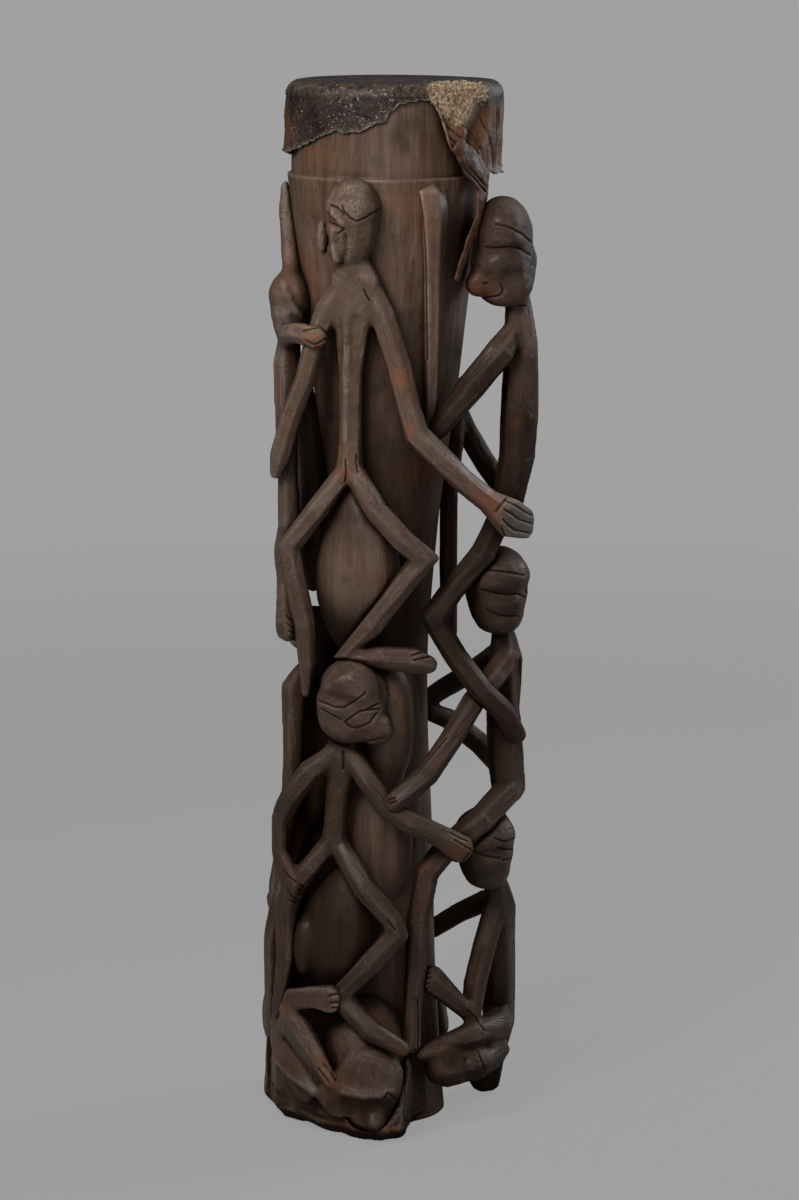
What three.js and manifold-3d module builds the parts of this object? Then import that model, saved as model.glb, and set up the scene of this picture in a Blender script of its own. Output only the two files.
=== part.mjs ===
// A standing drum carved from one log: an hourglass shell with a hide head, inside an openwork
// cage of climbing figures on four sides. Millimetres, +Z up. The origin is on the floor under the
// middle of the log, and the front column of figures faces -Y.
import * as THREE from "three";
import { mergeVertices } from "three/addons/utils/BufferGeometryUtils.js";
import Module from "manifold-3d";

// Driving dimensions of the log and the shell
const drumHeight = 1300; // floor to the top of the hide
const logHalfWidth = 175; // half the log, side to side
const logHalfDepth = 156; // half the log, front to back
const boreOffset = 17; // the shell's axis lies this far left of the log's middle
const collarHeight = 112; // from the cut line up to the top of the hide
const shoulderRadius = 119; // the shell just under the cut line
const rimRadius = 114; // the collar above the cut line, which the hide laps over
const waistHeight = 545;
const waistRadius = 51;
const footRadius = 74;
const shellWall = 14;
const rimRounding = 9; // where the hide bends over the rim
const seatGap = 0.3; // left between two touching pieces
const shoulderHeight = drumHeight - collarHeight; // the cut line below the rim

// Driving dimensions of the hide and of what is carved on the shell
const hideThickness = 3;
const hideFold = 26; // how far the gathered hide bulges on the right
const hemShare = 0.7; // how much of that bulge is left at the torn edge
const stripHalfWidth = 17;
const stripHalfThickness = 5;
const strutHalfWidth = 13;
const strutHalfDepth = 11;
const swellingHalfWidth = 58;
const upperSwellingHalfHeight = 118;
const lowerSwellingHalfHeight = 90;
const swellingHalfDepth = 38;

// Driving dimensions of the figures
const limbRadius = 15.5;
const endRiseShare = 0.55; // a limb's blunt end: where its bevel stops, as a share of its half depth
const endWidthShare = 0.6; // how wide the bevel leaves it
const endTipShare = 0.7; // where the end's middle is
const elbowShare = 0.75; // how much of an elbow's angle its point keeps
const headHalfWidth = 29;
const headHalfHeight = 53;
const headHalfDepth = 29;
const baseBevel = 15; // the rounded lower edge of the base

// Outlines of the shell: shares of the height from the waist to the floor or to the shoulder, and
// shares of the way from the waist's radius to that of the foot or the shoulder.
const footOutlineShares = [[0, 1], [0.11, 0.79], [0.37, 0.47], [0.69, 0.32], [0.86, 0.12], [1, 0]];
const chestOutlineShares = [
  [0, 0], [0.09, 0.02], [0.22, 0.1], [0.375, 0.25], [0.477, 0.38], [0.61, 0.57], [0.77, 0.74],
  [0.87, 0.85], [1, 1],
];

// The torn lower edge of the hide: degrees round the shell, then how far down it reaches and how
// thick it is folded, as shares of the collar's height and of the fold.
const hideEdgeShares = [
  [-180, 0.6, 0.1], [-155, 0.75, 0.05], [-130, 0.6, 0.1], [-110, 0.7, 0.12], [-96, 0.78, 0.14],
  [-86, 0.76, 0.14], [-78, 0.8, 0.1], [-66, 0.7, 0.05], [-54, 0.63, 0.04], [-42, 0.55, 0.06],
  [-30, 0.47, 0.04], [-22, 0.5, 0.07], [-14, 0.49, 0.04], [-7, 0.42, 0.04], [0, 0.36, 0.04],
  [7, 0.2, 0.03], [14, 0.17, 0.03], [26, 0.17, 0.05], [32, 0.3, 0.12], [38, 0.72, 0.2],
  [46, 0.77, 0.3], [58, 0.88, 0.55], [70, 0.96, 0.85], [82, 1, 1], [94, 1, 1], [106, 0.86, 0.75],
  [122, 0.7, 0.35], [140, 0.6, 0.12], [160, 0.55, 0.05], [180, 0.6, 0.1],
];

// The folded strip that hangs from the hide: degrees round the shell, how far below the top as a
// share of the collar's height, how far out to the log's surface, and a share of the strip's size
const stripShares = [
  [42, 0.64, 0.17, 0.7], [52, 0.87, 0.2, 1.1], [60, 1.03, 0.22, 1.1], [61, 1.16, 0.25, 0.8],
  [56, 1.42, 0.34, 0.5], [50, 1.65, 0.34, 0.45], [47, 1.86, 0.3, 0.4], [45, 2.09, 0.25, 0.35],
];

const hungStripShares = stripShares.map(([around, drop, ...rest]) => [
  around, 1 - (drop * collarHeight) / drumHeight, ...rest,
]);

// The flat strut on the shell: degrees round the shell, then shares of the drum's height, of the way
// from the shell out to the log's surface, and of the strut's size
const strutShares = [
  [29, 0.903, 0.01, 1.8], [30, 0.88, 0.02, 1.45], [32, 0.83, 0.04, 1.15], [34, 0.76, 0.07, 1.05],
  [36, 0.71, 0.09, 0.85], [37, 0.675, 0.08, 0.5],
];

// The two gourd-like swellings between the legs of the front figures: where the middle is, and how
// much it leans, in degrees
const upperSwellingShares = { at: [-25, 0.55, 0.2], lean: -2 };
const lowerSwellingShares = { at: [-38, 0.196, 0.4], lean: -12 };

// The figures. Every point of a limb gives degrees round the shell, then shares of the drum's
// height, of the way from the shell out to the log's surface, and of a limb's thickness, and where a
// limb is flat, its depth as a share of its width. A head gives its middle in the same terms, its
// half width, height and depth as shares of a head's, the degrees that it leans sideways and turns
// from facing outward, and how much broader its jaw is carved, as a share of a plain one.
const frontUpperShares = {
  head: { at: [-19, 0.876, 0.19], size: [1.25, 1, 1.2], lean: -3, turn: -62 },
  limbs: [
    [[-17, 0.842, 0.18, 1.1], [-17, 0.825, 0.24, 2.2, 0.65], [-19, 0.79, 0.28, 1.7, 0.75],
      [-22, 0.735, 0.27, 1.05], [-25, 0.67, 0.26, 0.95], [-27, 0.645, 0.26, 1.1]],
    [[-21, 0.825, 0.24, 1], [-34, 0.795, 0.36, 1.1], [-41, 0.765, 0.55, 0.95], [-46, 0.73, 0.67, 0.9],
      [-55, 0.69, 0.8, 0.9], [-63, 0.655, 0.84, 0.95], [-66, 0.636, 0.88, 0.55]],
    [[-13, 0.828, 0.24, 1], [-1, 0.79, 0.27, 1.1], [8, 0.745, 0.32, 1.05], [14, 0.705, 0.4, 1],
      [19, 0.68, 0.44, 1.05], [30, 0.66, 0.55, 1.05], [42, 0.636, 0.66, 1], [52, 0.616, 0.8, 1],
      [60, 0.598, 0.94, 1.7, 0.8], [72, 0.588, 0.95, 1.3, 0.8]],
    [[-26, 0.647, 0.26, 0.9], [-6, 0.608, 0.44, 1], [10, 0.582, 0.53, 1.05], [23, 0.563, 0.56, 1.05],
      [13, 0.543, 0.53, 1], [-8, 0.5, 0.56, 1], [-26, 0.472, 0.54, 1], [-4, 0.469, 0.53, 1],
      [18, 0.465, 0.51, 1.15], [29, 0.46, 0.54, 0.8]],
    [[-27, 0.647, 0.26, 0.9], [-42, 0.608, 0.63, 0.95], [-56, 0.57, 0.85, 1], [-52, 0.54, 0.85, 1],
      [-46, 0.5, 0.83, 0.95], [-46, 0.46, 0.79, 0.8], [-48, 0.43, 0.78, 0.4]],
  ],
};
const frontMiddleShares = {
  head: { at: [-21, 0.428, 0.61], size: [1.55, 1.02, 1.15], lean: -16, turn: 8, jaw: 1.1 },
  limbs: [
    [[-28, 0.388, 0.43, 1.2], [-31, 0.372, 0.48, 1.9, 0.75], [-34, 0.34, 0.49, 1.2, 0.9],
      [-35, 0.315, 0.52, 1], [-36, 0.288, 0.52, 1.1]],
    [[-21, 0.424, 0.6, 2.2, 0.85], [-11, 0.41, 0.62, 2, 0.85], [-3, 0.398, 0.6, 1.4]],
    [[-31, 0.378, 0.55, 0.9], [-46, 0.356, 0.75, 1], [-54, 0.332, 0.87, 1], [-62, 0.302, 0.96, 0.95],
      [-62, 0.272, 0.96, 0.9], [-52, 0.246, 0.96, 1.3, 0.9]],
    [[-26, 0.378, 0.52, 0.9], [-10, 0.35, 0.61, 1], [1, 0.326, 0.66, 1], [14, 0.312, 0.69, 1.05],
      [28, 0.3, 0.71, 1], [40, 0.283, 0.77, 1.3, 0.9]],
    [[-36, 0.29, 0.52, 0.9], [-12, 0.248, 0.68, 1.05], [4, 0.219, 0.74, 1], [6, 0.206, 0.74, 1],
      [-8, 0.176, 0.74, 1.05], [-26, 0.14, 0.75, 1], [-8, 0.112, 0.84, 1], [9, 0.093, 0.85, 0.7]],
    [[-36, 0.29, 0.52, 0.9], [-46, 0.262, 0.74, 0.9], [-52, 0.246, 0.86, 1], [-57, 0.22, 0.93, 1.1],
      [-58, 0.2, 0.97, 1.2], [-57, 0.17, 1, 1.1], [-62, 0.13, 1, 0.9], [-65, 0.11, 1, 0.7]],
  ],
};
const frontLowerShares = {
  head: { at: [-9, 0.054, 0.72], size: [1.5, 1.05, 1.3], lean: 0, turn: 0 },
  limbs: [
    [[-64, 0.108, 0.96, 1.3], [-52, 0.13, 0.96, 1.1], [-38, 0.139, 0.92, 1], [-27, 0.14, 0.9, 1.3, 0.9]],
    [[-64, 0.108, 0.96, 1.4], [-50, 0.1, 0.99, 1.9], [-40, 0.078, 1.02, 1.75], [-30, 0.05, 1.04, 1.4],
      [-22, 0.032, 1, 1.3]],
    [[-64, 0.1, 0.96, 1.4], [-62, 0.082, 1, 1.8], [-52, 0.066, 1.02, 1.8], [-42, 0.044, 1.02, 1.5]],
  ],
};
const rightUpperShares = {
  head: { at: [69, 0.845, 0.56], size: [1.3, 1.28, 1.45], lean: 5, turn: -50, jaw: 1.3 },
  limbs: [
    [[76, 0.8, 0.72, 1.1], [77, 0.755, 0.78, 1.4], [78, 0.7, 0.78, 1.6], [78, 0.65, 0.77, 1.5],
      [78, 0.6, 0.68, 1.3]],
    [[76, 0.775, 0.75, 1], [67, 0.752, 0.61, 1.3], [56, 0.72, 0.39, 1.25], [43, 0.691, 0.26, 1],
      [37, 0.678, 0.23, 0.8]],
    [[84, 0.775, 0.77, 0.8], [108, 0.745, 0.77, 1], [122, 0.715, 0.55, 1], [138, 0.69, 0.36, 0.9]],
    [[78, 0.605, 0.68, 1.1], [60, 0.562, 0.62, 1.15], [46, 0.53, 0.48, 1.05], [34, 0.505, 0.44, 1.1],
      [37, 0.495, 0.44, 1], [46, 0.465, 0.55, 1], [54, 0.432, 0.74, 1], [62, 0.412, 0.84, 0.95],
      [72, 0.383, 0.87, 0.9]],
    [[80, 0.603, 0.68, 1], [108, 0.605, 0.75, 1], [114, 0.632, 0.56, 1], [118, 0.665, 0.32, 1],
      [118, 0.69, 0.14, 0.9]],
    [[118, 0.69, 0.14, 0.9], [108, 0.66, 0.11, 0.85], [102, 0.61, 0.09, 0.8], [101, 0.54, 0.15, 0.8],
      [100, 0.47, 0.2, 0.7]],
  ],
};
const rightMiddleShares = {
  head: { at: [73, 0.524, 0.65], size: [1.5, 1.05, 1.45], lean: 6, turn: -45 },
  limbs: [
    [[79, 0.48, 0.69, 1], [80, 0.455, 0.71, 1.45], [80, 0.435, 0.71, 1.45], [82, 0.4, 0.69, 1.45],
      [80, 0.36, 0.71, 1.55], [78, 0.325, 0.75, 1.45]],
    [[76, 0.46, 0.75, 1.1], [67, 0.442, 0.69, 1.1], [53, 0.42, 0.64, 1.05], [40, 0.392, 0.64, 1],
      [24, 0.358, 0.66, 1], [3, 0.33, 0.71, 1.1]],
    [[86, 0.455, 0.7, 0.9], [106, 0.447, 0.68, 1], [120, 0.425, 0.56, 0.95], [133, 0.407, 0.35, 0.9],
      [140, 0.395, 0.12, 0.8]],
    [[76, 0.328, 0.76, 1.3], [56, 0.305, 0.68, 1.25], [40, 0.28, 0.51, 1.1], [28, 0.258, 0.46, 1.05],
      [23, 0.21, 0.4, 1], [22, 0.165, 0.38, 0.95], [19, 0.12, 0.38, 0.85], [18, 0.085, 0.38, 0.9]],
    [[84, 0.33, 0.75, 1], [104, 0.335, 0.71, 1], [121, 0.352, 0.66, 1], [128, 0.378, 0.39, 0.95],
      [130, 0.39, 0.12, 0.8]],
  ],
};
const rightLowerShares = {
  head: { at: [68, 0.273, 0.58], size: [1.4, 1, 1.4], lean: 6, turn: -40 },
  limbs: [
    [[76, 0.235, 0.64, 1], [80, 0.21, 0.65, 1.4], [92, 0.17, 0.62, 1.45], [96, 0.12, 0.63, 1.45],
      [98, 0.08, 0.63, 1.4], [107, 0.045, 0.6, 1.4], [113, 0.01, 0.57, 1.5]],
    [[79, 0.222, 0.65, 1], [70, 0.175, 0.56, 1.05], [66, 0.135, 0.48, 1.05], [61, 0.107, 0.48, 1.2],
      [47, 0.13, 0.4, 0.95], [32, 0.152, 0.37, 1.25, 0.85]],
    [[88, 0.212, 0.63, 0.9], [106, 0.2, 0.57, 1], [122, 0.182, 0.4, 0.9], [134, 0.165, 0.15, 0.85]],
    [[96, 0.088, 0.62, 1.3], [76, 0.09, 0.63, 1.3], [56, 0.09, 0.57, 1.25], [38, 0.083, 0.46, 1],
      [24, 0.076, 0.4, 0.7]],
    [[88, 0.068, 0.46, 1.5], [76, 0.066, 0.52, 2], [58, 0.066, 0.5, 2.1], [38, 0.06, 0.4, 1.8]],
  ],
};
const leftUpperShares = {
  head: { at: [-74, 0.792, 0.34], size: [1, 0.85, 0.95], lean: 4, turn: 45 },
  limbs: [
    [[-75, 0.765, 0.39, 0.9], [-75, 0.74, 0.48, 1.2], [-74, 0.69, 0.57, 1], [-72, 0.63, 0.63, 0.9],
      [-70, 0.585, 0.65, 1.05]],
    [[-72, 0.76, 0.47, 0.9], [-62, 0.768, 0.58, 0.9], [-50, 0.772, 0.71, 0.9],
      [-36, 0.77, 0.7, 1.15]],
    [[-98, 0.727, 0.32, 1.1], [-100, 0.68, 0.24, 1.35], [-100, 0.62, 0.24, 1.45],
      [-99, 0.56, 0.32, 1.4], [-98, 0.52, 0.34, 0.9]],
    [[-80, 0.755, 0.43, 0.9], [-100, 0.73, 0.53, 1], [-116, 0.69, 0.78, 1], [-132, 0.655, 0.89, 0.95],
      [-146, 0.64, 0.9, 1.15]],
    [[-71, 0.59, 0.65, 0.9], [-76, 0.56, 0.69, 1], [-74, 0.53, 0.68, 0.95], [-64, 0.508, 0.78, 1],
      [-55, 0.49, 0.9, 1.2]],
    [[-71, 0.59, 0.62, 0.9], [-95, 0.565, 0.54, 1], [-112, 0.535, 0.69, 1], [-104, 0.5, 0.59, 0.95],
      [-94, 0.465, 0.53, 0.9]],
    [[-86, 0.903, 0.04, 0.6], [-86, 0.88, 0.11, 0.8], [-84, 0.85, 0.14, 0.85], [-77, 0.812, 0.24, 0.8]],
  ],
};
const leftMiddleShares = {
  head: { at: [-88, 0.466, 0.33], size: [1.1, 0.9, 0.95], lean: -4, turn: 30 },
  limbs: [
    [[-80, 0.442, 0.47, 0.9], [-77, 0.425, 0.61, 1.2], [-75, 0.39, 0.63, 1], [-75, 0.35, 0.63, 0.95],
      [-76, 0.315, 0.63, 1.05]],
    [[-84, 0.43, 0.53, 0.9], [-104, 0.41, 0.64, 1], [-120, 0.375, 0.83, 1], [-132, 0.345, 0.85, 0.95],
      [-144, 0.335, 0.86, 1.15]],
    [[-76, 0.32, 0.63, 0.9], [-92, 0.29, 0.64, 1], [-104, 0.255, 0.73, 1], [-96, 0.22, 0.78, 0.95],
      [-86, 0.19, 0.78, 0.9]],
    [[-76, 0.32, 0.63, 0.9], [-80, 0.29, 0.7, 0.95], [-82, 0.262, 0.75, 0.9]],
  ],
};
const leftLowerShares = {
  head: { at: [-94, 0.318, 0.35], size: [1, 0.85, 0.9], lean: 0, turn: 20 },
  limbs: [
    [[-84, 0.24, 0.68, 0.8], [-79, 0.22, 0.73, 1], [-76, 0.17, 0.9, 1], [-74, 0.12, 1.01, 1.1],
      [-76, 0.085, 1.05, 1.2]],
    [[-84, 0.24, 0.68, 0.8], [-92, 0.285, 0.47, 1]],
    [[-84, 0.225, 0.7, 0.9], [-106, 0.2, 0.89, 1], [-122, 0.165, 0.94, 1], [-134, 0.13, 0.93, 1.1]],
    [[-78, 0.09, 1.02, 1.1], [-98, 0.1, 0.95, 1.1], [-114, 0.075, 0.94, 1.05],
      [-122, 0.03, 0.93, 1]],
  ],
};
const backUpperShares = {
  head: { at: [180, 0.865, 0.43], size: [1.1, 1.05, 1.1], lean: 0, turn: 0 },
  limbs: [
    [[180, 0.828, 0.42, 0.9], [180, 0.8, 0.55, 1.5], [180, 0.75, 0.66, 1.1], [181, 0.69, 0.7, 0.95],
      [182, 0.645, 0.69, 1.1]],
    [[182, 0.808, 0.52, 1], [198, 0.78, 0.71, 1], [210, 0.735, 0.85, 1], [200, 0.695, 0.83, 0.95],
      [186, 0.67, 0.96, 1.1]],
    [[178, 0.808, 0.52, 1], [164, 0.78, 0.56, 1], [157, 0.74, 0.58, 1], [162, 0.7, 0.59, 0.95],
      [160, 0.665, 0.4, 1.05]],
    [[183, 0.65, 0.69, 0.9], [200, 0.61, 0.89, 1], [214, 0.58, 1, 1.05], [204, 0.545, 0.93, 1],
      [192, 0.505, 0.86, 0.95], [200, 0.47, 0.86, 1]],
    [[181, 0.65, 0.69, 0.9], [170, 0.61, 0.71, 1], [162, 0.58, 0.71, 1.05], [168, 0.545, 0.68, 1],
      [172, 0.505, 0.59, 0.95], [164, 0.48, 0.48, 1]],
  ],
};
const backMiddleShares = {
  head: { at: [184, 0.44, 0.58], size: [1.2, 0.95, 1.1], lean: 8, turn: 0 },
  limbs: [
    [[183, 0.405, 0.58, 0.9], [182, 0.385, 0.6, 1.5], [181, 0.35, 0.62, 1.05], [180, 0.31, 0.66, 0.95],
      [180, 0.28, 0.66, 1.1]],
    [[183, 0.39, 0.6, 1], [202, 0.365, 0.81, 1], [216, 0.335, 0.96, 1], [206, 0.3, 0.89, 0.95],
      [196, 0.272, 0.87, 1.15]],
    [[181, 0.39, 0.6, 1], [167, 0.365, 0.6, 1], [160, 0.335, 0.56, 1], [166, 0.305, 0.58, 0.95],
      [172, 0.28, 0.73, 1.1]],
    [[182, 0.285, 0.67, 0.9], [200, 0.25, 0.87, 1], [212, 0.215, 0.99, 1.05], [202, 0.18, 0.95, 1],
      [192, 0.155, 0.92, 0.95], [197, 0.14, 0.95, 0.9]],
    [[178, 0.285, 0.66, 0.9], [168, 0.25, 0.7, 1], [161, 0.215, 0.7, 1.05], [166, 0.18, 0.69, 1],
      [172, 0.155, 0.73, 0.95], [167, 0.14, 0.74, 0.9]],
  ],
};
const backLowerShares = {
  head: { at: [182, 0.19, 0.51], size: [1.2, 1.1, 1.1], lean: -6, turn: 0 },
  limbs: [
    [[182, 0.155, 0.51, 1.2], [182, 0.12, 0.61, 1.6], [182, 0.08, 0.68, 1.5]],
    [[183, 0.128, 0.6, 1], [204, 0.115, 0.88, 1], [218, 0.09, 1, 1.05], [222, 0.05, 1.01, 0.95]],
    [[181, 0.128, 0.6, 1], [164, 0.115, 0.72, 1], [154, 0.085, 0.73, 1.05], [150, 0.045, 0.72, 0.95]],
  ],
};

// The base, in lobes: degrees round the shell, the top of the lobe as a share of the drum's height,
// and its outside as a share of the way out to the log's surface
const frontLobeShares = [
  [-84, 0.1, 0.91], [-70, 0.085, 0.93], [-56, 0.06, 0.82], [-42, 0.045, 0.81], [-28, 0.035, 0.83],
  [-14, 0.035, 0.95], [-2, 0.04, 0.91], [8, 0.045, 0.8], [15, 0.075, 0.5], [24, 0.08, 0.22],
  [34, 0.07, 0.1], [42, 0.06, 0.06],
];
const leftLobeShares = [
  [-142, 0.045, 0.92], [-130, 0.06, 1.05], [-116, 0.07, 1.08], [-102, 0.085, 1.01], [-86, 0.1, 0.96],
];
const backLobeShares = [
  [146, 0.035, 0.59], [158, 0.06, 0.86], [170, 0.075, 1.01], [182, 0.08, 1.07], [194, 0.07, 1.1],
  [206, 0.055, 1.08], [216, 0.04, 0.92],
];

// Mesh detail
const shellSides = 32;
const hideSides = 60;
const limbSides = 6;
const headSides = 10;
const logSides = 48;
const weldGap = 0.001;
const speckSize = 0.12; // the shortest edge that a cut may leave
const sliverSize = 0.04; // the lowest face that a cut may leave
const roundShare = 1 - Math.SQRT1_2; // how far in the middle of a rounded corner lies

const wasm = await Module();
wasm.setup();

// A closed geometry as a solid that can be joined and cut.
function solidFrom(geometry) {
  const plain = geometry.clone();
  plain.deleteAttribute("normal");
  plain.deleteAttribute("uv");
  const welded = mergeVertices(plain, weldGap);
  return new wasm.Manifold(
    new wasm.Mesh({
      numProp: 3,
      vertProperties: welded.attributes.position.array,
      triVerts: new Uint32Array(welded.index.array),
    }),
  );
}

// Faces without the specks that a cut leaves: the two ends of a shorter edge become one point.
function withoutSpecks(faces, point) {
  const joined = new Map();
  const kept = (index) => (joined.has(index) ? kept(joined.get(index)) : index);
  for (const face of faces) {
    face.forEach((index, i) => {
      const [start, end] = [kept(index), kept(face[(i + 1) % 3])];
      if (start !== end && point(start).distanceTo(point(end)) < speckSize) joined.set(end, start);
    });
  }
  return faces.map((face) => face.map(kept)).filter((face) => new Set(face).size === 3);
}

// Faces without slivers: one that is too low takes the other diagonal with the face beside it.
function withoutSlivers(faces, point) {
  const owners = new Map();
  const own = (face) => face.forEach((start, i) => owners.set(`${start} ${face[(i + 1) % 3]}`, face));
  faces.forEach(own);
  for (const face of faces) {
    const spans = face.map((start, i) => point(start).distanceTo(point(face[(i + 1) % 3])));
    const span = Math.max(...spans);
    const longest = spans.indexOf(span);
    const [start, end, tip] = [0, 1, 2].map((i) => face[(longest + i) % 3]);
    const low = (2 * new THREE.Triangle(...face.map(point)).getArea()) / span < sliverSize;
    const beside = owners.get(`${end} ${start}`);
    const far = beside.find((index) => index !== start && index !== end);
    if (low && !owners.has(`${tip} ${far}`) && !owners.has(`${far} ${tip}`)) {
      face.splice(0, 3, tip, start, far);
      beside.splice(0, 3, far, end, tip);
      owners.delete(`${start} ${end}`);
      owners.delete(`${end} ${start}`);
      [face, beside].forEach(own);
    }
  }
  return faces;
}

// A solid as a faceted geometry.
function geometryFrom(solid) {
  const { vertProperties, triVerts } = solid.getMesh();
  const point = (index) => new THREE.Vector3().fromArray(vertProperties, index * 3);
  const faces = [];
  for (let corner = 0; corner < triVerts.length; corner += 3) {
    faces.push([...triVerts.slice(corner, corner + 3)]);
  }
  const tidy = withoutSlivers(withoutSpecks(faces, point), point);
  const faceted = new THREE.BufferGeometry().setFromPoints(tidy.flat().map(point));
  faceted.computeVertexNormals();
  return faceted;
}

// A closed surface through rings of points, with a single point at each end.
function ringSurface(firstPoint, rings, lastPoint) {
  const count = rings[0].length;
  const points = [firstPoint, ...rings.flat(), lastPoint];
  const last = points.length - 1;
  const faces = [];
  for (let i = 0; i < count; i++) {
    const next = (i + 1) % count;
    faces.push(0, 1 + next, 1 + i);
    faces.push(last, last - count + i, last - count + next);
    for (let ring = 0; ring < rings.length - 1; ring++) {
      const low = 1 + ring * count;
      const high = low + count;
      faces.push(low + i, low + next, high + next, low + i, high + next, high + i);
    }
  }
  const geometry = new THREE.BufferGeometry().setFromPoints(points);
  geometry.setIndex(faces);
  return geometry;
}

// Reads a table of rows at a value of its first column, in straight steps between the rows.
function readTable(table, value) {
  const after = Math.max(1, table.findIndex((row) => row[0] >= value));
  const [low, high] = [table[after - 1], table[after]];
  const share = (value - low[0]) / (high[0] - low[0]);
  return low.map((entry, column) => entry + share * (high[column] - entry));
}

const radians = THREE.MathUtils.degToRad;
const outward = (around) =>
  new THREE.Vector3(Math.sin(radians(around)), -Math.cos(radians(around)), 0);

// The radius of the shell's outside below the cut line.
function shellRadius(height) {
  if (height < waistHeight) {
    const [, swell] = readTable(footOutlineShares, Math.max(0, height / waistHeight));
    return waistRadius + swell * (footRadius - waistRadius);
  }
  const rise = Math.min(1, (height - waistHeight) / (shoulderHeight - waistHeight));
  const [, swell] = readTable(chestOutlineShares, rise);
  return waistRadius + swell * (shoulderRadius - waistRadius);
}

// The way from the shell's axis out to the oval log's surface.
function logReach(around) {
  const way = outward(around);
  const square = (way.x / logHalfWidth) ** 2 + (way.y / logHalfDepth) ** 2;
  const lean = (way.x * boreOffset) / logHalfWidth ** 2;
  const rest = 1 - (boreOffset / logHalfWidth) ** 2;
  return (lean + Math.sqrt(lean ** 2 + square * rest)) / square;
}

// How far out a point of the cage lies, at a share of the way from the shell to the log's surface.
function cageRadius(around, height, outShare) {
  const shell = shellRadius(height);
  return shell + outShare * (logReach(around) - shell);
}

// A point of the cage, from degrees round the shell and shares of the drum's height and of the way
// from the shell out to the log's surface.
function place(around, upShare, outShare) {
  const height = upShare * drumHeight;
  return outward(around).multiplyScalar(cageRadius(around, height, outShare)).setZ(height);
}

// A carved limb: a chiselled bar through its points, with pointed elbows and blunt ends.
function limb(points, grow = 0, halfWidth = limbRadius, halfDepth = limbRadius) {
  const spots = points.map(([around, up, out]) => place(around, up, out));
  const ahead = spots.slice(1).map((spot, i) => spot.clone().sub(spots[i]).normalize());
  const rings = points.map(([around, , , girth, flatness = 1], i) => {
    const before = ahead[Math.max(0, i - 1)];
    const after = ahead[Math.min(i, ahead.length - 1)];
    const along = before.clone().add(after).normalize();
    const depth = outward(around);
    depth.addScaledVector(along, -depth.dot(along)).normalize();
    const width = depth.clone().cross(along);
    const corner = before.clone().sub(after);
    const stretch = 1 / Math.max(elbowShare, before.dot(along)) - 1;
    corner.normalize();
    const offsets = [];
    for (let side = 0; side < limbSides; side++) {
      const angle = ((side + 0.5) / limbSides) * 2 * Math.PI;
      const offset = new THREE.Vector3();
      offset.addScaledVector(width, Math.cos(angle) * (girth * halfWidth + grow));
      offset.addScaledVector(depth, Math.sin(angle) * (girth * flatness * halfDepth + grow));
      offset.addScaledVector(corner, offset.dot(corner) * stretch);
      offsets.push(offset);
    }
    return { spot: spots[i], along, offsets, reach: girth * flatness * halfDepth + grow };
  });
  const section = ({ spot, along, offsets, reach }, shift, scale) =>
    offsets.map((offset) =>
      spot.clone().addScaledVector(along, shift * reach).addScaledVector(offset, scale),
    );
  const first = rings[0];
  const last = rings[rings.length - 1];
  const tip = (ring, shift) => ring.spot.clone().addScaledVector(ring.along, shift * ring.reach);
  const sections = rings.map((ring) => section(ring, 0, 1));
  sections.unshift(section(first, -endRiseShare, endWidthShare));
  sections.push(section(last, endRiseShare, endWidthShare));
  return solidFrom(ringSurface(tip(first, -endTipShare), sections, tip(last, endTipShare)));
}

// Rows of a head from chin to crown: shares of its half height, half width, and half depth in front
// and behind. The brow stands out over the eyes, and the lips over the chin.
const headShares = [
  [-0.96, 0.36, 0.5, 0.3], [-0.84, 0.6, 0.74, 0.55], [-0.62, 0.76, 0.84, 0.75],
  [-0.46, 0.82, 0.74, 0.85], [-0.18, 0.9, 0.92, 0.95], [0.12, 0.97, 0.76, 1], [0.24, 1, 1, 1],
  [0.45, 0.97, 0.97, 1], [0.74, 0.76, 0.74, 0.78], [0.93, 0.42, 0.4, 0.42],
];
// Rows of a plain gourd-like swelling, in the same terms
const swellingShares = [
  [-0.92, 0.36, 0.36, 0.3], [-0.7, 0.7, 0.7, 0.6], [-0.36, 0.96, 0.96, 0.9], [0, 1, 1, 1],
  [0.38, 0.84, 0.9, 0.9], [0.72, 0.58, 0.62, 0.6], [0.93, 0.28, 0.32, 0.3],
];

// A rounded mass on the cage, such as a head, which leans sideways and turns about its own height.
function mass(rowShares, { at, lean, turn = 0, jaw = 1 }, [halfWidth, halfHeight, halfDepth], grow) {
  const middle = place(...at);
  const upright = new THREE.Vector3(0, 0, 1);
  const front = outward(at[0]);
  const up = upright.clone().applyAxisAngle(front, radians(lean));
  front.applyAxisAngle(up, radians(turn));
  const side = front.clone().cross(up);
  const rings = rowShares.map(([rise, wide, ahead, behind]) => {
    const broad = rise < 0 ? jaw : 1;
    const ring = [];
    for (let i = 0; i < headSides; i++) {
      const angle = (i / headSides) * 2 * Math.PI;
      const deep = Math.sin(angle) > 0 ? ahead : behind;
      const point = middle.clone().addScaledVector(up, rise * (halfHeight + grow));
      point.addScaledVector(side, Math.cos(angle) * (wide * broad * halfWidth + grow));
      point.addScaledVector(front, Math.sin(angle) * (deep * halfDepth + grow));
      ring.push(point);
    }
    return ring;
  });
  const chin = middle.clone().addScaledVector(up, -halfHeight - grow);
  const crown = middle.clone().addScaledVector(up, halfHeight + grow);
  return solidFrom(ringSurface(chin, rings, crown));
}

function figure({ head, limbs }, grow = 0) {
  const [wide, tall, deep] = head.size;
  const size = [wide * headHalfWidth, tall * headHalfHeight, deep * headHalfDepth];
  const body = mass(headShares, head, size, grow);
  return limbs.reduce((whole, points) => whole.add(limb(points, grow)), body);
}

function swelling(shares, halfHeight, grow = 0) {
  return mass(swellingShares, shares, [swellingHalfWidth, halfHeight, swellingHalfDepth], grow);
}

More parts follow.
